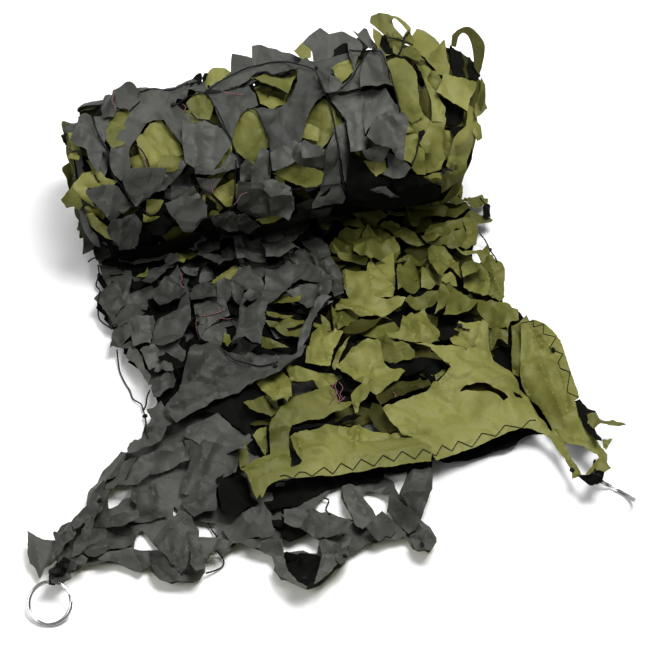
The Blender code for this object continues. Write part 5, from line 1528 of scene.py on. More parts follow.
# %% Flap
FLAP_KNOTS = ((189, 290), (178, 263), (283, 262), (197, 316), (275, 366))
# The flap's base sheet and its black leaves are near-black painted shade under and between its leaves.
FLAP_BASE = (
    ("black", 0, ((100, 250), (150, 258), (200, 246), (250, 238), (296, 232), (312, 244), (324, 264),
     (332, 288), (316, 306), (304, 330), (296, 350), (262, 366), (232, 384), (200, 402), (180, 414),
     (166, 418), (156, 396), (150, 376), (140, 362), (136, 350), (120, 344), (116, 330), (104, 316),
     (106, 290), (102, 268))),
)
FLAP_UNDER = (
    ("olive", 2, ((133, 282), (138, 276), (148, 271), (149, 277), (147, 282))),
    ("olive", 4, ((177, 257), (183, 251), (191, 250), (198, 256), (190, 260), (184, 264), (178, 262))),
    ("olive", 1, ((269, 308), (276, 298), (284, 295), (293, 299), (302, 305), (300, 313), (292, 316),
     (280, 314))),
    ("olive", 3, ((266, 312), (280, 315), (294, 317), (288, 320), (276, 320), (267, 317))),
    ("olive", 1, ((265, 322), (282, 322), (290, 318), (304, 321), (306, 336), (300, 338), (282, 335),
     (270, 329))),
    ("olive", 2, ((261, 340), (270, 344), (284, 346), (289, 348), (276, 350), (262, 350))),
    ("olive", 5, ((210, 285), (217, 278), (226, 272), (236, 266), (239, 271), (235, 278), (228, 281),
     (218, 285))),
    ("dark", 1, ((194, 312), (205, 308), (216, 305), (226, 309), (230, 317), (222, 321), (212, 325),
     (206, 330), (200, 338), (196, 325))),
    ("dark", 1, ((127, 300), (135, 293), (150, 288), (157, 292), (153, 300), (148, 308), (144, 317),
     (134, 321), (119, 328), (114, 322), (118, 311))),
    ("dark", 2, ((206, 330), (214, 326), (224, 328), (226, 338), (220, 346), (208, 344), (200, 340))),
    ("olive", 3, ((224, 334), (230, 336), (231, 344), (228, 348), (223, 342))),
)
FLAP_LEAVES = (
    ("dark", 1, ((99, 266), (118, 268), (131, 272), (126, 281), (112, 286), (107, 286), (101, 274))),
    ("dark", 2, ((90, 246), (112, 250), (113, 257), (106, 262), (100, 266), (95, 258))),
    ("dark", 3, ((112, 250), (140, 254), (160, 252), (176, 250), (178, 256), (160, 262), (140, 264),
     (120, 262))),
    ("dark", 4, ((94, 300, 6), (108, 287), (120, 281), (131, 272), (133, 280), (130, 292), (127, 304),
     (122, 309), (116, 316), (115, 328), (108, 317), (101, 307))),
    ("dark", 5, ((179, 263), (168, 263), (158, 269), (150, 270), (147, 279), (135, 283), (132, 290, 8),
     (141, 290, 8), (151, 285, 8), (163, 276, 8), (173, 268))),
    ("dark", 3, ((157, 255), (176, 253), (180, 258), (178, 263), (170, 266), (165, 262))),
    ("dark", 3, ((180, 269), (199, 269), (197, 277), (186, 277))),
    ("dark", 5, ((178, 267), (183, 275), (181, 285), (188, 291), (184, 297, 8), (172, 303, 8), (160, 306, 7),
     (154, 301), (152, 292), (160, 285), (168, 277))),
    ("dark", 6, ((187, 293), (190, 305), (191, 318, 6, R), (188, 327, 7, R), (183, 336, 8, R),
     (175, 343, 9, R), (164, 346, 9), (151, 345, 9), (152, 333), (155, 325), (165, 320), (177, 312))),
    ("dark", 8, ((130, 321), (139, 318), (153, 316), (155, 326), (152, 335), (151, 345, 11), (143, 345, 11),
     (133, 347, 11), (131, 335))),
    ("dark", 3, ((114, 330), (127, 325), (131, 321), (133, 336), (126, 342), (118, 348), (110, 349),
     (112, 337))),
    ("dark", 2, ((118, 349), (130, 342), (134, 346), (128, 351))),
    ("dark", 4, ((197, 246), (208, 240), (219, 234), (220, 250), (210, 254), (199, 256))),
    ("dark", 3, ((221, 252), (232, 247), (235, 254), (228, 259), (222, 258))),
    ("dark", 3, ((198, 256), (212, 255), (222, 260), (237, 259), (239, 266), (230, 270), (220, 277),
     (212, 271), (204, 267), (198, 263))),
    ("dark", 4, ((189, 292), (198, 286), (210, 284), (218, 282), (218, 300), (210, 305), (200, 308),
     (195, 310), (191, 302))),
    ("dark", 4, ((217, 283), (229, 280), (238, 285), (244, 292), (242, 300), (240, 308), (232, 301),
     (228, 305), (222, 309), (217, 305))),
    ("dark", 3, ((237, 261), (250, 263), (263, 263), (269, 268), (266, 276), (260, 281), (250, 273),
     (241, 268))),
    ("dark", 4, ((239, 268), (250, 271), (262, 280), (266, 290), (258, 297), (250, 291), (242, 292),
     (231, 283), (236, 275))),
    ("dark", 4, ((285, 263), (291, 258), (296, 252), (304, 249), (311, 254), (322, 258), (322, 271),
     (305, 265), (293, 263))),
    ("dark", 5, ((298, 236), (301, 225), (309, 224), (310, 234), (318, 238), (328, 246), (331, 258),
     (320, 262), (312, 254), (304, 246))),
    ("dark", 6, ((310, 254), (322, 256), (332, 259), (338, 268), (342, 278), (344, 295), (334, 297),
     (328, 286), (324, 274), (316, 266))),
    ("dark", 6, ((266, 270), (274, 265), (280, 262), (285, 262), (296, 261), (310, 263), (322, 270),
     (322, 284, 8), (310, 283, 8), (300, 280, 8), (292, 285, 8), (284, 293, 8), (275, 301, 8), (268, 305),
     (261, 298), (265, 285))),
    ("dark", 3, ((286, 292), (300, 286), (316, 286), (326, 292), (322, 304), (310, 312), (304, 306),
     (294, 300))),
    ("dark", 6, ((250, 289), (257, 293), (263, 298), (268, 305), (265, 313), (266, 321), (263, 332),
     (261, 345, 9), (246, 350, 9), (232, 352, 9), (236, 335), (239, 318), (240, 308), (244, 297)),
     ((243, 312), (247, 308), (254, 307), (258, 309), (254, 314), (247, 316))),
    ("dark", 9, ((233, 234), (240, 234), (248, 236), (256, 243), (265, 250), (266, 263, 12), (250, 261, 12),
     (237, 260, 12), (235, 249))),
    ("dark", 9, ((252, 239), (263, 236), (273, 229), (281, 222), (288, 216), (310, 224), (303, 233),
     (296, 241), (289, 250), (301, 250), (296, 255, 12), (280, 258, 12), (266, 260, 12), (265, 250),
     (260, 245))),
    ("dark", 7, ((322, 270), (332, 280), (332, 292), (322, 300), (316, 294), (320, 282))),
    ("dark", 7, ((322, 296), (332, 298), (324, 306), (318, 314), (312, 326), (309, 338), (303, 346),
     (297, 353), (299, 340), (304, 326), (310, 312), (316, 302))),
    ("black", 2, ((140, 350), (152, 350), (156, 366), (152, 378), (142, 368))),
    ("dark", 4, ((126, 359), (133, 344), (143, 358), (144, 367), (151, 377), (149, 388), (138, 369))),
    ("dark", 2, ((140, 350), (152, 346), (164, 348), (176, 346), (186, 352), (184, 364), (170, 368),
     (158, 374), (150, 372))),
    ("dark", 4, ((151, 388), (157, 379), (166, 373), (173, 374), (176, 381), (174, 389), (165, 393),
     (160, 399), (154, 399))),
    ("black", 4, ((158, 358), (166, 354), (178, 360), (185, 367), (176, 370), (164, 364))),
    ("dark", 5, ((163, 362), (172, 364), (174, 372), (166, 373), (160, 368))),
    ("dark", 5, ((147, 411), (161, 402), (168, 411), (179, 408), (182, 419), (173, 425), (166, 432),
     (160, 442), (150, 447), (138, 452), (128, 455), (127, 449), (131, 442), (134, 439), (141, 438),
     (145, 428), (151, 421))),
    ("dark", 6, ((192, 348), (216, 343), (226, 353), (238, 358), (258, 356), (276, 354), (292, 356),
     (299, 356), (296, 362), (284, 368), (278, 371), (262, 379), (249, 385), (238, 394), (226, 398),
     (214, 402), (205, 408), (196, 412), (184, 419), (176, 423), (165, 412), (168, 404), (174, 396),
     (179, 388), (184, 372), (188, 359))),
    ("dark", 8, ((300, 346), (306, 346), (302, 356), (293, 362), (284, 369), (278, 373), (262, 380),
     (250, 386), (262, 374), (274, 366), (286, 361), (296, 354))),
)
FLAP_CREASES = (
    (190, 388, 206, 367, -2.6, 2.0), (200, 350, 186, 385, 1.6, 4.0), (214, 346, 196, 396, 1.2, 5.0),
    (220, 346, 232, 358, -2.0, 2.0), (232, 358, 278, 363, -2.2, 1.8), (240, 356, 262, 350, 1.8, 2.5),
    (232, 362, 252, 372, 1.2, 4.0), (198, 389, 216, 392, 2.0, 2.0), (214, 380, 250, 366, 1.5, 3.0),
    (222, 384, 246, 376, -1.3, 2.5), (250, 372, 280, 362, 1.2, 3.0), (180, 418, 224, 400, 2.2, 3.0),
    (178, 404, 186, 372, -1.8, 3.0), (262, 354, 290, 360, 1.2, 3.0), (132, 292, 120, 310, 1.6, 3.0),
    (170, 290, 186, 296, 1.6, 2.5), (160, 330, 186, 320, 1.5, 4.0), (176, 312, 156, 340, 1.4, 3.0),
    (138, 322, 142, 344, 1.5, 3.0), (152, 320, 151, 344, -1.4, 2.5), (206, 290, 214, 304, 1.6, 3.0),
    (224, 286, 236, 300, -1.6, 3.0), (244, 272, 256, 296, 1.6, 3.0), (238, 240, 246, 260, 1.6, 3.0),
    (264, 240, 296, 232, 1.8, 3.0), (266, 250, 300, 244, -1.6, 3.0), (276, 226, 286, 252, 1.6, 3.0),
    (246, 312, 260, 344, 1.4, 4.0), (244, 306, 240, 344, 1.6, 3.0), (316, 260, 336, 294, 1.8, 2.5),
    (322, 300, 304, 348, 1.8, 2.0), (148, 424, 176, 416, 1.8, 2.5), (136, 448, 168, 424, -1.8, 2.5),
    (142, 442, 174, 420, 1.8, 2.5), (150, 416, 166, 428, 1.4, 2.0),
)
flap_cloth = Cloth("flap", flap_ground, seed=83, knots=FLAP_KNOTS, creases=FLAP_CREASES)
flap_cloth.leaves(FLAP_BASE, amount=0, grain=7.0, belly=0.0, sink=6.0)
FLAP_DEPTHS = ((104, 256), (200, 250), (296, 236), (322, 266), (328, 288), (310, 306), (300, 344), (260, 352),
               (200, 352), (160, 390), (144, 360), (120, 340), (108, 312))
flap_cloth.fill_under(FLAP_DEPTHS, ("dark", "black", "black"), 17.0, (2.5, 5.5), seed=72)
flap_cloth.leaves(FLAP_UNDER + FLAP_LEAVES, amount=1.9, press=3.0)
flap_sheet, flap_area = flap_cloth.make()

# %% [markdown]
# The net under the leaves shows as dark strings. They run over the cloth from knot to knot, hang off its edge
# and hem it with zigzag stitches, and mauve ends of the sewing thread stick out. A route is a list of pixels.
# The ray through each one finds the cloth, and the string stays as near the viewer as its neighbours, so that
# it crosses hollows as a taut string does. Routes with a third number hang free, at that height in
# millimetres.

# %% Routes over the finished cloth
CLOTH_TREES = [
    BVHTree.FromObject(piece, bpy.context.evaluated_depsgraph_get())
    for piece in (inner_turns, outer_turn, left_ruffle, right_ruffle, lower_layer, olive_sheet, flap_sheet)
]
REACH_NEAR = 3  # samples to each side whose nearest cloth a string keeps to
STRING_LOWEST = 1.4  # millimetres from the floor to the middle of a string


def spread_out(corners, step, crisp):
    """Points along an open route, in a curve or, for stitches, in straight lines."""
    rows = np.array(corners, float)
    rows = np.vstack([2 * rows[0] - rows[1], rows, 2 * rows[-1] - rows[-2]])
    found = []
    for before, here, there, after in zip(rows, rows[1:], rows[2:], rows[3:]):
        steps = max(1, round(np.linalg.norm((there - here)[:2]) / step))
        for t in np.arange(steps) / steps:
            if crisp:
                found.append(here + (there - here) * t)
            else:
                found.append(0.5 * (
                    2 * here + (there - before) * t + (2 * before - 5 * here + 4 * there - after) * t**2
                    + (3 * here - before - 3 * there + after) * t**3
                ))
    return np.array(found + [rows[-2]])


def reach(way):
    """How far along a ray the first cloth is, in millimetres, or NaN where it meets none."""
    start = Vector((EYE * MM).tolist())
    hits = [tree.ray_cast(start, Vector(way.tolist()))[3] for tree in CLOTH_TREES]
    return min([hit / MM for hit in hits if hit is not None], default=math.nan)


def over_cloth(corners, above, step=2.0, crisp=False):
    """A route on or over the cloth, as points in millimetres."""
    spots = spread_out(corners, step, crisp)
    ways = np.array([sight(*spot[:2]) for spot in spots])
    far = np.array([reach(way) for way in ways])
    if np.isnan(far).all() and spots.shape[1] < 3:
        raise ValueError(f"no cloth under the route at {corners[0]}")
    if spots.shape[1] > 2:
        near = np.fmin((spots[:, 2] - EYE[2]) / ways[:, 2], far)
    else:
        count, met = np.arange(len(far)), ~np.isnan(far)
        far = np.interp(count, count[met], far[met])
        near = np.array([far[max(i - REACH_NEAR, 0):i + REACH_NEAR + 1].min() for i in count])
        near = np.convolve(np.pad(near, 2, mode="edge"), np.ones(5) / 5, "valid")
        near = far if crisp else np.minimum(near, far)
    points = EYE + ways * (near - above)[:, None]
    points[:, 2] = np.maximum(points[:, 2], STRING_LOWEST)
    return points


def polylines(name, paths):
    """All the paths of one kind of string as an object of bare edges."""
    points, edges = [], []
    for path in paths:
        edges += [(len(points) + i, len(points) + i + 1) for i in range(len(path) - 1)]
        points += list(path)
    obj = new_object(name, points, edges)
    lengths = [np.linalg.norm(np.diff(np.array(path), axis=0), axis=1).sum() for path in paths]
    print(f"{name}: {len(paths)} paths, {sum(lengths):.0f} mm in all, the longest {max(lengths):.0f} mm")
    return obj


# %% [markdown]
# Every string repeats the same twisted cord and every knot the same lump, so Geometry Nodes make them. One
# tree sweeps an oval section along a path and turns it as it goes, which gives the twist. The other puts a
# swollen ball at each point, turns each its own way and pushes its surface about.

# %% A string and a knot, as Geometry Nodes
KNOT_RELIEF = 0.0024  # metres
CORD_CRISP = math.radians(60)


def finish_geometry(tree, geometry, material, end):
    """Realizes what has been built, gives it the material and sends it out."""
    whole = linked(tree, "GeometryNodeRealizeInstances", Geometry=geometry)
    done = linked(tree, "GeometryNodeSetMaterial", Geometry=whole.outputs["Geometry"], Material=material)
    tree.links.new(done.outputs["Geometry"], end.inputs["Geometry"])


def string_nodes():
    """A twisted cord along every edge path: an oval section that turns as it goes."""
    tree, start, end = new_group("twisted_cord", [
        ("Geometry", "Geometry", None), ("Radius", "Float", 0.0008), ("Step", "Float", 0.0015),
        ("Twist", "Float", 900.0), ("Material", "Material", None),
    ], [("Geometry", "Geometry")], "GeometryNodeTree")
    given = start.outputs
    curve = linked(tree, "GeometryNodeMeshToCurve", Mesh=given["Geometry"])
    even = linked(tree, "GeometryNodeResampleCurve", {"mode": "LENGTH"}, Curve=curve.outputs["Curve"],
                  Length=given["Step"])
    along = linked(tree, "GeometryNodeSplineParameter")
    turned = calculated(tree, "MULTIPLY", along.outputs["Length"], given["Twist"])
    tilted = linked(tree, "GeometryNodeSetCurveTilt", Curve=even.outputs["Curve"], Tilt=turned)
    ring = linked(tree, "GeometryNodeCurvePrimitiveCircle", Resolution=8, Radius=given["Radius"])
    oval = linked(tree, "GeometryNodeTransform", Geometry=ring.outputs["Curve"], Scale=(1.2, 0.8, 1.0))
    tube = linked(tree, "GeometryNodeCurveToMesh", Curve=tilted.outputs["Curve"],
                  Profile_Curve=oval.outputs["Geometry"], Fill_Caps=True)
    finish_geometry(tree, tube.outputs["Mesh"], given["Material"], end)
    return tree


def knot_nodes():
    """A lump of cord at every point, each turned and swollen its own way."""
    tree, start, end = new_group("net_knots", [
        ("Geometry", "Geometry", None), ("Size", "Float", 0.0024), ("Seed", "Int", 3),
        ("Material", "Material", None),
    ], [("Geometry", "Geometry")], "GeometryNodeTree")
    given = start.outputs
    lump = linked(tree, "GeometryNodeMeshIcoSphere", Radius=given["Size"], Subdivisions=3)
    spin, swell = (
        linked(tree, "FunctionNodeRandomValue", {"data_type": "FLOAT_VECTOR"}, Min=low, Max=high,
               Seed=given["Seed"])
        for low, high in (((0, 0, 0), (6.3, 6.3, 6.3)), ((0.7, 0.8, 0.6), (1.5, 1.1, 1.0)))
    )
    placed = linked(
        tree, "GeometryNodeInstanceOnPoints", Points=given["Geometry"], Instance=lump.outputs["Mesh"],
        Rotation=spin.outputs["Value"], Scale=swell.outputs["Value"],
    )
    whole = linked(tree, "GeometryNodeRealizeInstances", Geometry=placed.outputs["Instances"])
    place = linked(tree, "GeometryNodeInputPosition")
    strands = linked(tree, "ShaderNodeTexNoise", Vector=place.outputs["Position"], Scale=420.0)
    push = calculated(tree, "MULTIPLY_ADD", strands.outputs["Color"], (KNOT_RELIEF,) * 3,
                      (-KNOT_RELIEF / 2,) * 3, kind="ShaderNodeVectorMath")
    lumpy = linked(tree, "GeometryNodeSetPosition", Geometry=whole.outputs["Geometry"], Offset=push)
    finish_geometry(tree, lumpy.outputs["Geometry"], given["Material"], end)
    return tree


def grown(obj, tree, **inputs):
    """Runs a tree on an object with its named inputs set, and keeps the result as a plain mesh."""
    modifier = obj.modifiers.new(tree.name, "NODES")
    modifier.node_group = tree
    names = {item.name: item.identifier for item in tree.interface.items_tree if item.in_out == "INPUT"}
    for name, value in inputs.items():
        modifier[names[name]] = value
    plain(obj, CORD_CRISP)
    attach(obj, "root")
    print(f"{obj.name}: {len(obj.data.polygons)} faces")
    return obj


def cord_finish(name, colour):
    return new_material(name, Base_Color=(*colour, 1), Roughness=0.7, Specular_IOR_Level=0.25)[0]


TWISTED, KNOTS = string_nodes(), knot_nodes()
black_cord = cord_finish("black_cord", (0.012, 0.012, 0.013))
hem_thread = cord_finish("hem_thread", (0.016, 0.018, 0.008))
mauve_thread = cord_finish("mauve_thread", (0.24, 0.11, 0.13))

# %% Strings of the net
ROLL_STRINGS = (
    ((140, 92), (152, 88.5), (164, 90), (172, 89.5), (180, 86.5), (188, 83)),
    ((175, 105), (181, 102), (188, 97), (200, 93.5), (207, 93)),
    ((92, 117), (95, 126), (100, 138), (104, 145), (108, 151), (109, 160), (110, 168), (113, 176), (120, 184),
     (127, 193), (131, 200), (135, 207)),
    ((115, 178), (124, 190), (132, 202), (135, 207)),
    ((129, 112), (134, 107), (140, 101)),
    ((135, 144), (142, 151), (147, 160), (149, 167)),
    ((170, 185), (177, 185), (188, 186), (197, 186), (202, 189), (209, 193), (215, 199), (220, 204),
     (227, 208), (231, 209)),
    ((209, 90), (212, 87), (221, 81), (232, 75), (242, 70), (250, 67), (260, 65), (267, 63), (275, 62),
     (288, 62), (301, 65), (308, 67), (314, 69.5)),
    ((208, 93), (222, 91), (236, 88), (243, 84), (250, 80), (256, 75), (262, 72), (268, 72), (272, 75),
     (284, 72), (296, 70)),
    ((207, 93), (212, 102), (217, 110), (222, 120), (226, 130), (231, 138), (233, 146), (236, 152),
     (239, 160), (240, 168)),
    ((236, 160), (236, 168), (234, 178), (235, 184), (235, 192), (233, 202), (231, 209)),
    ((191, 113), (197, 119), (206, 120), (212, 123), (222, 127), (227, 133), (231, 139)),
    ((247, 109), (254, 109), (258, 114), (261, 121), (264, 128), (268, 135), (269, 143), (270, 152),
     (269, 166), (269, 175)),
    ((251, 87), (262, 85), (271, 87), (275, 90), (284, 92), (288, 95), (286, 100)),
    ((267, 97), (270, 93), (274, 90)),
    ((315, 70), (319, 78), (323, 88), (326, 95), (330, 105), (333, 117), (335, 128), (337, 140), (339, 150),
     (340, 160), (341, 172), (343, 182), (346, 190)),
    ((328, 97), (333, 105), (339, 114), (345, 119), (347, 130), (348, 140), (349, 150)),
    ((349, 50), (359, 51), (368, 51), (377, 51), (381, 52), (384, 57), (386, 64), (390, 72), (393, 84),
     (397, 97), (400, 112)),
    ((367, 52), (363, 59), (358, 66), (354, 74), (350, 80), (345, 85), (341, 89)),
    ((410, 31), (404, 38), (403, 45), (400, 52), (396, 57)),
    ((383, 37), (390, 38), (398, 39), (406, 42), (413, 45)),
    ((399, 56), (405, 58), (411, 61), (416, 66), (419, 72)),
    ((290, 190), (300, 189), (310, 188), (323, 186), (332, 185), (340, 184), (345, 190), (349, 196)),
    ((81, 199), (85, 202), (90, 206), (94, 209)),
    ((82, 200), (83, 208), (85, 215)),
    ((95, 175), (97, 180), (100, 182)),
    ((143, 209), (148, 214), (153, 215), (157, 213)),
    ((138, 206), (143, 200), (148, 198)),
    ((231, 209), (220, 215), (210, 217), (200, 220), (196, 226)),
    ((231, 209), (239, 213), (249, 214), (256, 215), (256, 225)),
    ((411, 165), (416, 155), (418, 145), (420, 139)),
)
LOOSE_STRINGS = (
    ((220, 346), (228, 355), (235, 360), (250, 364), (262, 366), (278, 362)),
    ((98, 265, 12), (99, 275, 8), (96, 285, 5), (100, 291, 4), (98, 300, 4), (98, 308, 6), (100, 320, 9),
     (112, 329, 12)),
    ((117, 350, 8), (118, 360, 4), (120, 372, 1.5), (125, 383, 1.2), (130, 391, 1.2), (133, 399, 1.5),
     (141, 404, 3), (143, 410, 4), (145, 416, 5), (146, 424, 6), (145, 430, 6), (148, 438, 6)),
    ((150, 390, 8), (147, 397, 4), (146, 405, 3), (143, 411, 4)),
    ((480, 234, 14), (485, 240, 11), (490, 250, 10), (495, 257, 11), (497, 262, 12)),
    ((216, 550, 6), (222, 557, 3), (224, 562, 1.5), (222, 567, 1.5), (214, 571, 3), (206, 573, 6)),
    ((208, 523, 5), (212, 530, 2), (217, 537, 5)),
    ((324, 498, 6), (329, 500, 3), (327, 506, 2), (326, 510, 2), (330, 515, 6)),
    ((88, 262), (94, 258), (104, 258), (112, 254)),
    ((186, 292), (178, 300), (170, 303), (160, 306)),
    ((197, 316), (190, 322), (188, 334)),
    ((283, 262), (276, 266), (268, 268)),
    ((456, 322), (462, 328), (470, 330)),
    ((480, 198), (488, 208), (490, 218)),
)
THREADS = (
    ((115, 91), (113, 96), (112, 101), (115, 106), (115, 111)),
    ((124, 106), (128, 109), (129, 112)),
    ((144, 158), (145, 162), (146, 167)),
    ((182, 104), (186, 107), (184, 111), (187, 112)),
    ((222, 91), (228, 93), (235, 94), (244, 95)),
    ((212, 181), (211, 186), (212, 189), (213, 193)),
    ((248, 192), (241, 195), (238, 200), (234, 205)),
    ((412, 61), (414, 65), (417, 69)),
    ((180, 272), (182, 278), (180, 283), (184, 288)),
    ((197, 316), (208, 315), (222, 311), (225, 308)),
    ((197, 317), (196, 325), (198, 335), (200, 340)),
    ((215, 322), (219, 318), (227, 319), (235, 318)),
    ((338, 380), (335, 386), (337, 392), (333, 397), (330, 404)),
    ((336, 392), (340, 398), (338, 403), (345, 397)),
    ((339, 382), (343, 388), (340, 394), (344, 400)),
    ((334, 384), (331, 390), (334, 396)),
    ((393, 392), (396, 395), (394, 398)),
)
HEM_STITCHES = (
    ((280, 476), (285, 475), (293, 478), (299, 472), (305, 472), (312, 476), (324, 467), (333, 474),
     (341, 463), (353, 470), (361, 459), (374, 466), (383, 455), (394, 461), (402, 451), (415, 459),
     (423, 449), (436, 456), (442, 445), (452, 451), (458, 441), (472, 447), (482, 433), (496, 436),
     (505, 425), (522, 428), (530, 420), (536, 420)),
    ((521, 323), (531, 321), (534, 321), (533, 327), (544, 324), (543, 334), (556, 337), (551, 346),
     (549, 348), (563, 354), (558, 362), (560, 368), (570, 372), (568, 384), (567, 392), (578, 397)),
    ((370, 545), (375, 540), (381, 542), (386, 536), (391, 538), (395, 532)),
)
KNOTS_SEEN = (
    *ROLL_KNOTS, *LOWER_KNOTS, *OLIVE_KNOTS, *FLAP_KNOTS, (145, 416, 5), (99, 275, 8), (490, 250, 10),
)
STRANDS = (
    # piece, its routes, millimetres above the cloth, whether its corners stay sharp, radius, cord
    ("net_strings", ROLL_STRINGS + LOOSE_STRINGS, 1.2, False, 0.75, black_cord),
    ("hem_stitches", HEM_STITCHES, 0.7, True, 0.45, hem_thread),
    ("loose_threads", THREADS, 1.4, False, 0.5, mauve_thread),
)
for name, routes, above, crisp, radius, cord in STRANDS:
    paths = [over_cloth(route, above=above, crisp=crisp) for route in routes]
    grown(polylines(name, paths), TWISTED, Radius=radius * MM, Material=cord)
knot_spots = [over_cloth((knot, (knot[0] + 1, *knot[1:])), above=1.4)[:1] for knot in KNOTS_SEEN]
grown(polylines("net_knots", knot_spots), KNOTS, Material=black_cord)

# %% [markdown]
# A split ring is a flat wire wound twice round, and its steel has a painted reflection: dark edges painted
# into its colour, as bright steel shows them on a white floor. The cord that holds it goes twice round the
# wire, is whipped into a knot and runs back under the hem.

# %% Split rings and their ties
RINGS = {
    # middle, direction over the floor to the knot, its rise and the ring's lean in degrees, the knot's tail
    "left": ((-263.0, -277.8, 11.6), (0.27, 0.963), 30.0, 0.0, (-245.0, -230.8)),
    "right": ((266.0, -252.8, 16.5), (-0.842, 0.539), 20.2, 49.0, (258.0, -212.8)),
}
RING_RADIUS, WIRE_RADIAL, WIRE_AXIAL, TURN_GAP = 18.9, 1.5, 0.9, 1.0  # millimetres
CROSSING, CROSSING_PLACE, RING_CRISP = math.radians(16), math.radians(160), math.radians(50)
LOOP_RADIUS, WHIP_RADIUS = 3.9, 4.3  # of a tie's cord, in millimetres
WHIP_TURNS, WHIP_SHARE = 5.5, 0.32  # and the share of the way to the tail that is whipped
LOOP_AHEAD, LOOP_SPREAD, KNOT_AHEAD = 1.7, 3.4, 5.0  # millimetres from the wire and from the loop's middle
LOOP_STEPS, WHIP_STEPS, TAIL_STEPS = 32, 60, 12


def ring_axes(towards, rise, lean):
    rise, lean = math.radians(rise), math.radians(lean)
    flat = np.array([*towards, 0.0]) / math.hypot(*towards)
    to_knot = flat * math.cos(rise) + np.array([0, 0, math.sin(rise)])
    level = np.cross([0, 0, 1], flat)
    in_plane = level * math.cos(lean) + np.cross(to_knot, level) * math.sin(lean)
    return to_knot, in_plane, np.cross(to_knot, in_plane)


def painted_reflection_steel():
    """Steel with a painted reflection: its colour is painted darker towards its edges, as a curved bright
    wire looks in a white room.
    """
    material, shader = new_material("steel_painted_reflection", Metallic=1.0, Roughness=0.16)
    tree = material.node_tree
    facing = linked(tree, "ShaderNodeLayerWeight", Blend=0.35)
    ramp = linked(tree, "ShaderNodeValToRGB", i0=facing.outputs["Facing"])
    bright, dark = ramp.color_ramp.elements
    bright.color, dark.color, dark.position = (0.62, 0.62, 0.6, 1), (0.05, 0.05, 0.05, 1), 0.6
    tree.links.new(ramp.outputs["Color"], shader.inputs["Base Color"])
    return material


def split_ring(side, material, steps=220, around=14):
    """Wire wound twice round, whose turns cross over at one place."""
    middle, towards, rise, lean, _ = RINGS[side]
    to_knot, in_plane, normal = ring_axes(towards, rise, lean)
    first, last = CROSSING * 1.6, 4 * math.pi - CROSSING * 1.6
    points, faces = [], []
    for i in range(steps + 1):
        angle = first + (last - first) * i / steps
        crossing = max(-1.0, min(1.0, (angle - 2 * math.pi) / CROSSING))
        place = angle + CROSSING_PLACE
        out = in_plane * math.cos(place) + to_knot * math.sin(place)
        here = np.array(middle) + out * RING_RADIUS + normal * TURN_GAP * math.sin(crossing * math.pi / 2)
        for j in range(around):
            turn = 2 * math.pi * j / around
            points.append(here + out * WIRE_RADIAL * math.cos(turn) + normal * WIRE_AXIAL * math.sin(turn))
    for i in range(steps):
        for j in range(around):
            k = (j + 1) % around
            faces.append((i * around + j, i * around + k, (i + 1) * around + k, (i + 1) * around + j))
    faces.append(tuple(reversed(range(around))))
    faces.append(tuple(steps * around + j for j in range(around)))
    ring = new_object("steel_ring_" + side, points, faces=faces)
    ring.data.materials.append(material)
    face_outwards(ring.data)
    plain(ring, RING_CRISP)
    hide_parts("split_ring_" + side)
    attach(ring, "root")


def tie_path(side):
    """Twice round the wire, five and a half whipped turns, and a tail on the cloth."""
    middle, towards, rise, lean, tail = RINGS[side]
    to_knot, in_plane, normal = ring_axes(towards, rise, lean)
    loop = np.array(middle) + to_knot * (RING_RADIUS + LOOP_AHEAD)
    points = []
    for i in range(LOOP_STEPS + 1):
        angle = math.pi + 4 * math.pi * i / LOOP_STEPS
        points.append(loop + to_knot * LOOP_RADIUS * math.cos(angle) + normal * LOOP_RADIUS * math.sin(angle)
                      + in_plane * (LOOP_SPREAD * i / LOOP_STEPS - LOOP_SPREAD / 2))
    knot = loop + to_knot * KNOT_AHEAD
    end = np.array([*tail, knot[2] * 0.5 + 2.0])
    for i in range(WHIP_STEPS + 1):
        share = i / WHIP_STEPS
        angle = 2 * math.pi * WHIP_TURNS * share
        size = WHIP_RADIUS * math.sin(math.pi * (0.16 + 0.7 * share)) + 0.4
        points.append(knot + (end - knot) * WHIP_SHARE * share + in_plane * size * math.cos(angle)
                      + normal * size * math.sin(angle))
    start = points[-1]
    for i in range(1, TAIL_STEPS + 1):
        share = i / TAIL_STEPS
        points.append(start + (end - start) * share + in_plane * 1.2 * math.sin(5 * share))
    return points


steel = painted_reflection_steel()
for side in RINGS:
    split_ring(side, steel)
    tie = grown(
        polylines("ring_cord_" + side, [tie_path(side)]), TWISTED, Radius=1.15 * MM, Step=1.0 * MM,
        Twist=500.0, Material=black_cord,
    )
    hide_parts("corner_tie_" + side)
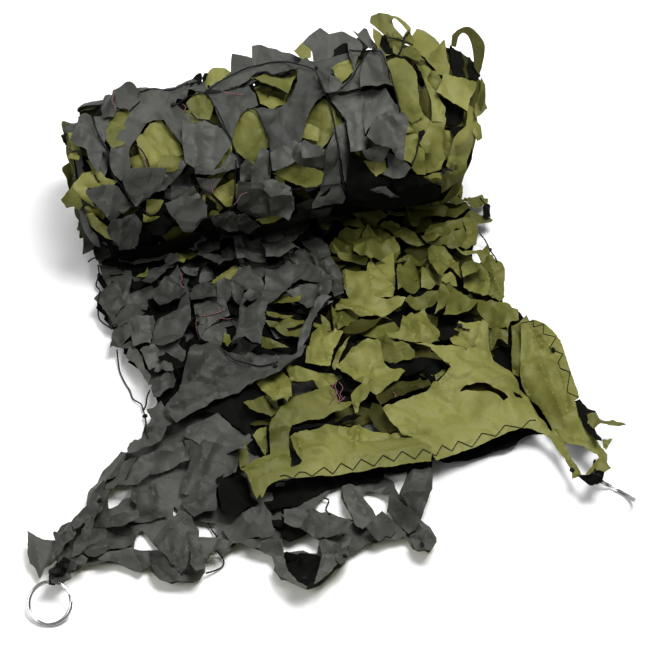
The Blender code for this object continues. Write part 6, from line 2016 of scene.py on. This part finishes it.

# %% [markdown]
# The photograph has a white floor that fades into its background, one soft light from above and weaker ones
# from the left and from behind.

# %% Floor and light
FLOOR_HALF = 4000  # millimetres
floor = new_object(
    "floor", [(x * FLOOR_HALF, y * FLOOR_HALF, 0) for x, y in ((-1, -1), (1, -1), (1, 1), (-1, 1))],
    faces=[(0, 1, 2, 3)],
)
floor.data.materials.append(new_material("floor", Base_Color=(0.96, 0.96, 0.96, 1), Roughness=0.8)[0])

LIGHTS = (
    # name, place and size in metres, watts
    ("key", (0.45, -0.15, 1.7), 0.8, 28),
    ("fill", (-1.3, -0.7, 1.2), 0.9, 10),
    ("back", (-0.2, 1.5, 1.3), 0.8, 9),
)
for name, place, size, watts in LIGHTS:
    light = bpy.data.lights.new(name, "AREA")
    light.size, light.energy = size, watts
    lamp = bpy.data.objects.new(name, light)
    lamp.location = place
    lamp.rotation_euler = (Vector(place) - AIM).to_track_quat("Z", "Y").to_euler()
    bpy.context.scene.collection.objects.link(lamp)
world = bpy.data.worlds.new("studio")
world.use_nodes = True
sky = world.node_tree.nodes["Background"].inputs
sky["Color"].default_value, sky["Strength"].default_value = (1, 1, 1, 1), 0.2
bpy.context.scene.world = world
bpy.context.scene.view_settings.view_transform = "Standard"
bpy.context.scene.view_settings.look = "Medium High Contrast"

# %% [markdown]
# Last, the solids that the cloth stands for are hidden and each piece is attached to the root body; the table
# gives each piece with its area, flat width, how it is held and what carries it.

# %% Hide the solids and attach the pieces
SHEETS = (
    # piece, its area in square metres, flat width in metres, how it is held, what carries it
    (outer_turn, outer_area, 0.44, "draped", [inner_turns]),
    (left_ruffle, left_ruffle_area, 0.02, "folded", [inner_turns]),
    (right_ruffle, right_ruffle_area, 0.02, "folded", [inner_turns]),
    (lower_layer, lower_area, 0.45, "laid", []),
    (olive_sheet, olive_area, 0.4, "draped", [lower_layer]),
    (flap_sheet, flap_area, 0.3, "folded", [olive_sheet]),
)
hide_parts("roll")
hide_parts("dark_layers")
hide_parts("olive_layer")
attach(inner_turns, "root")
for piece, area, width, held, rests_on in SHEETS:
    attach(piece, "root")
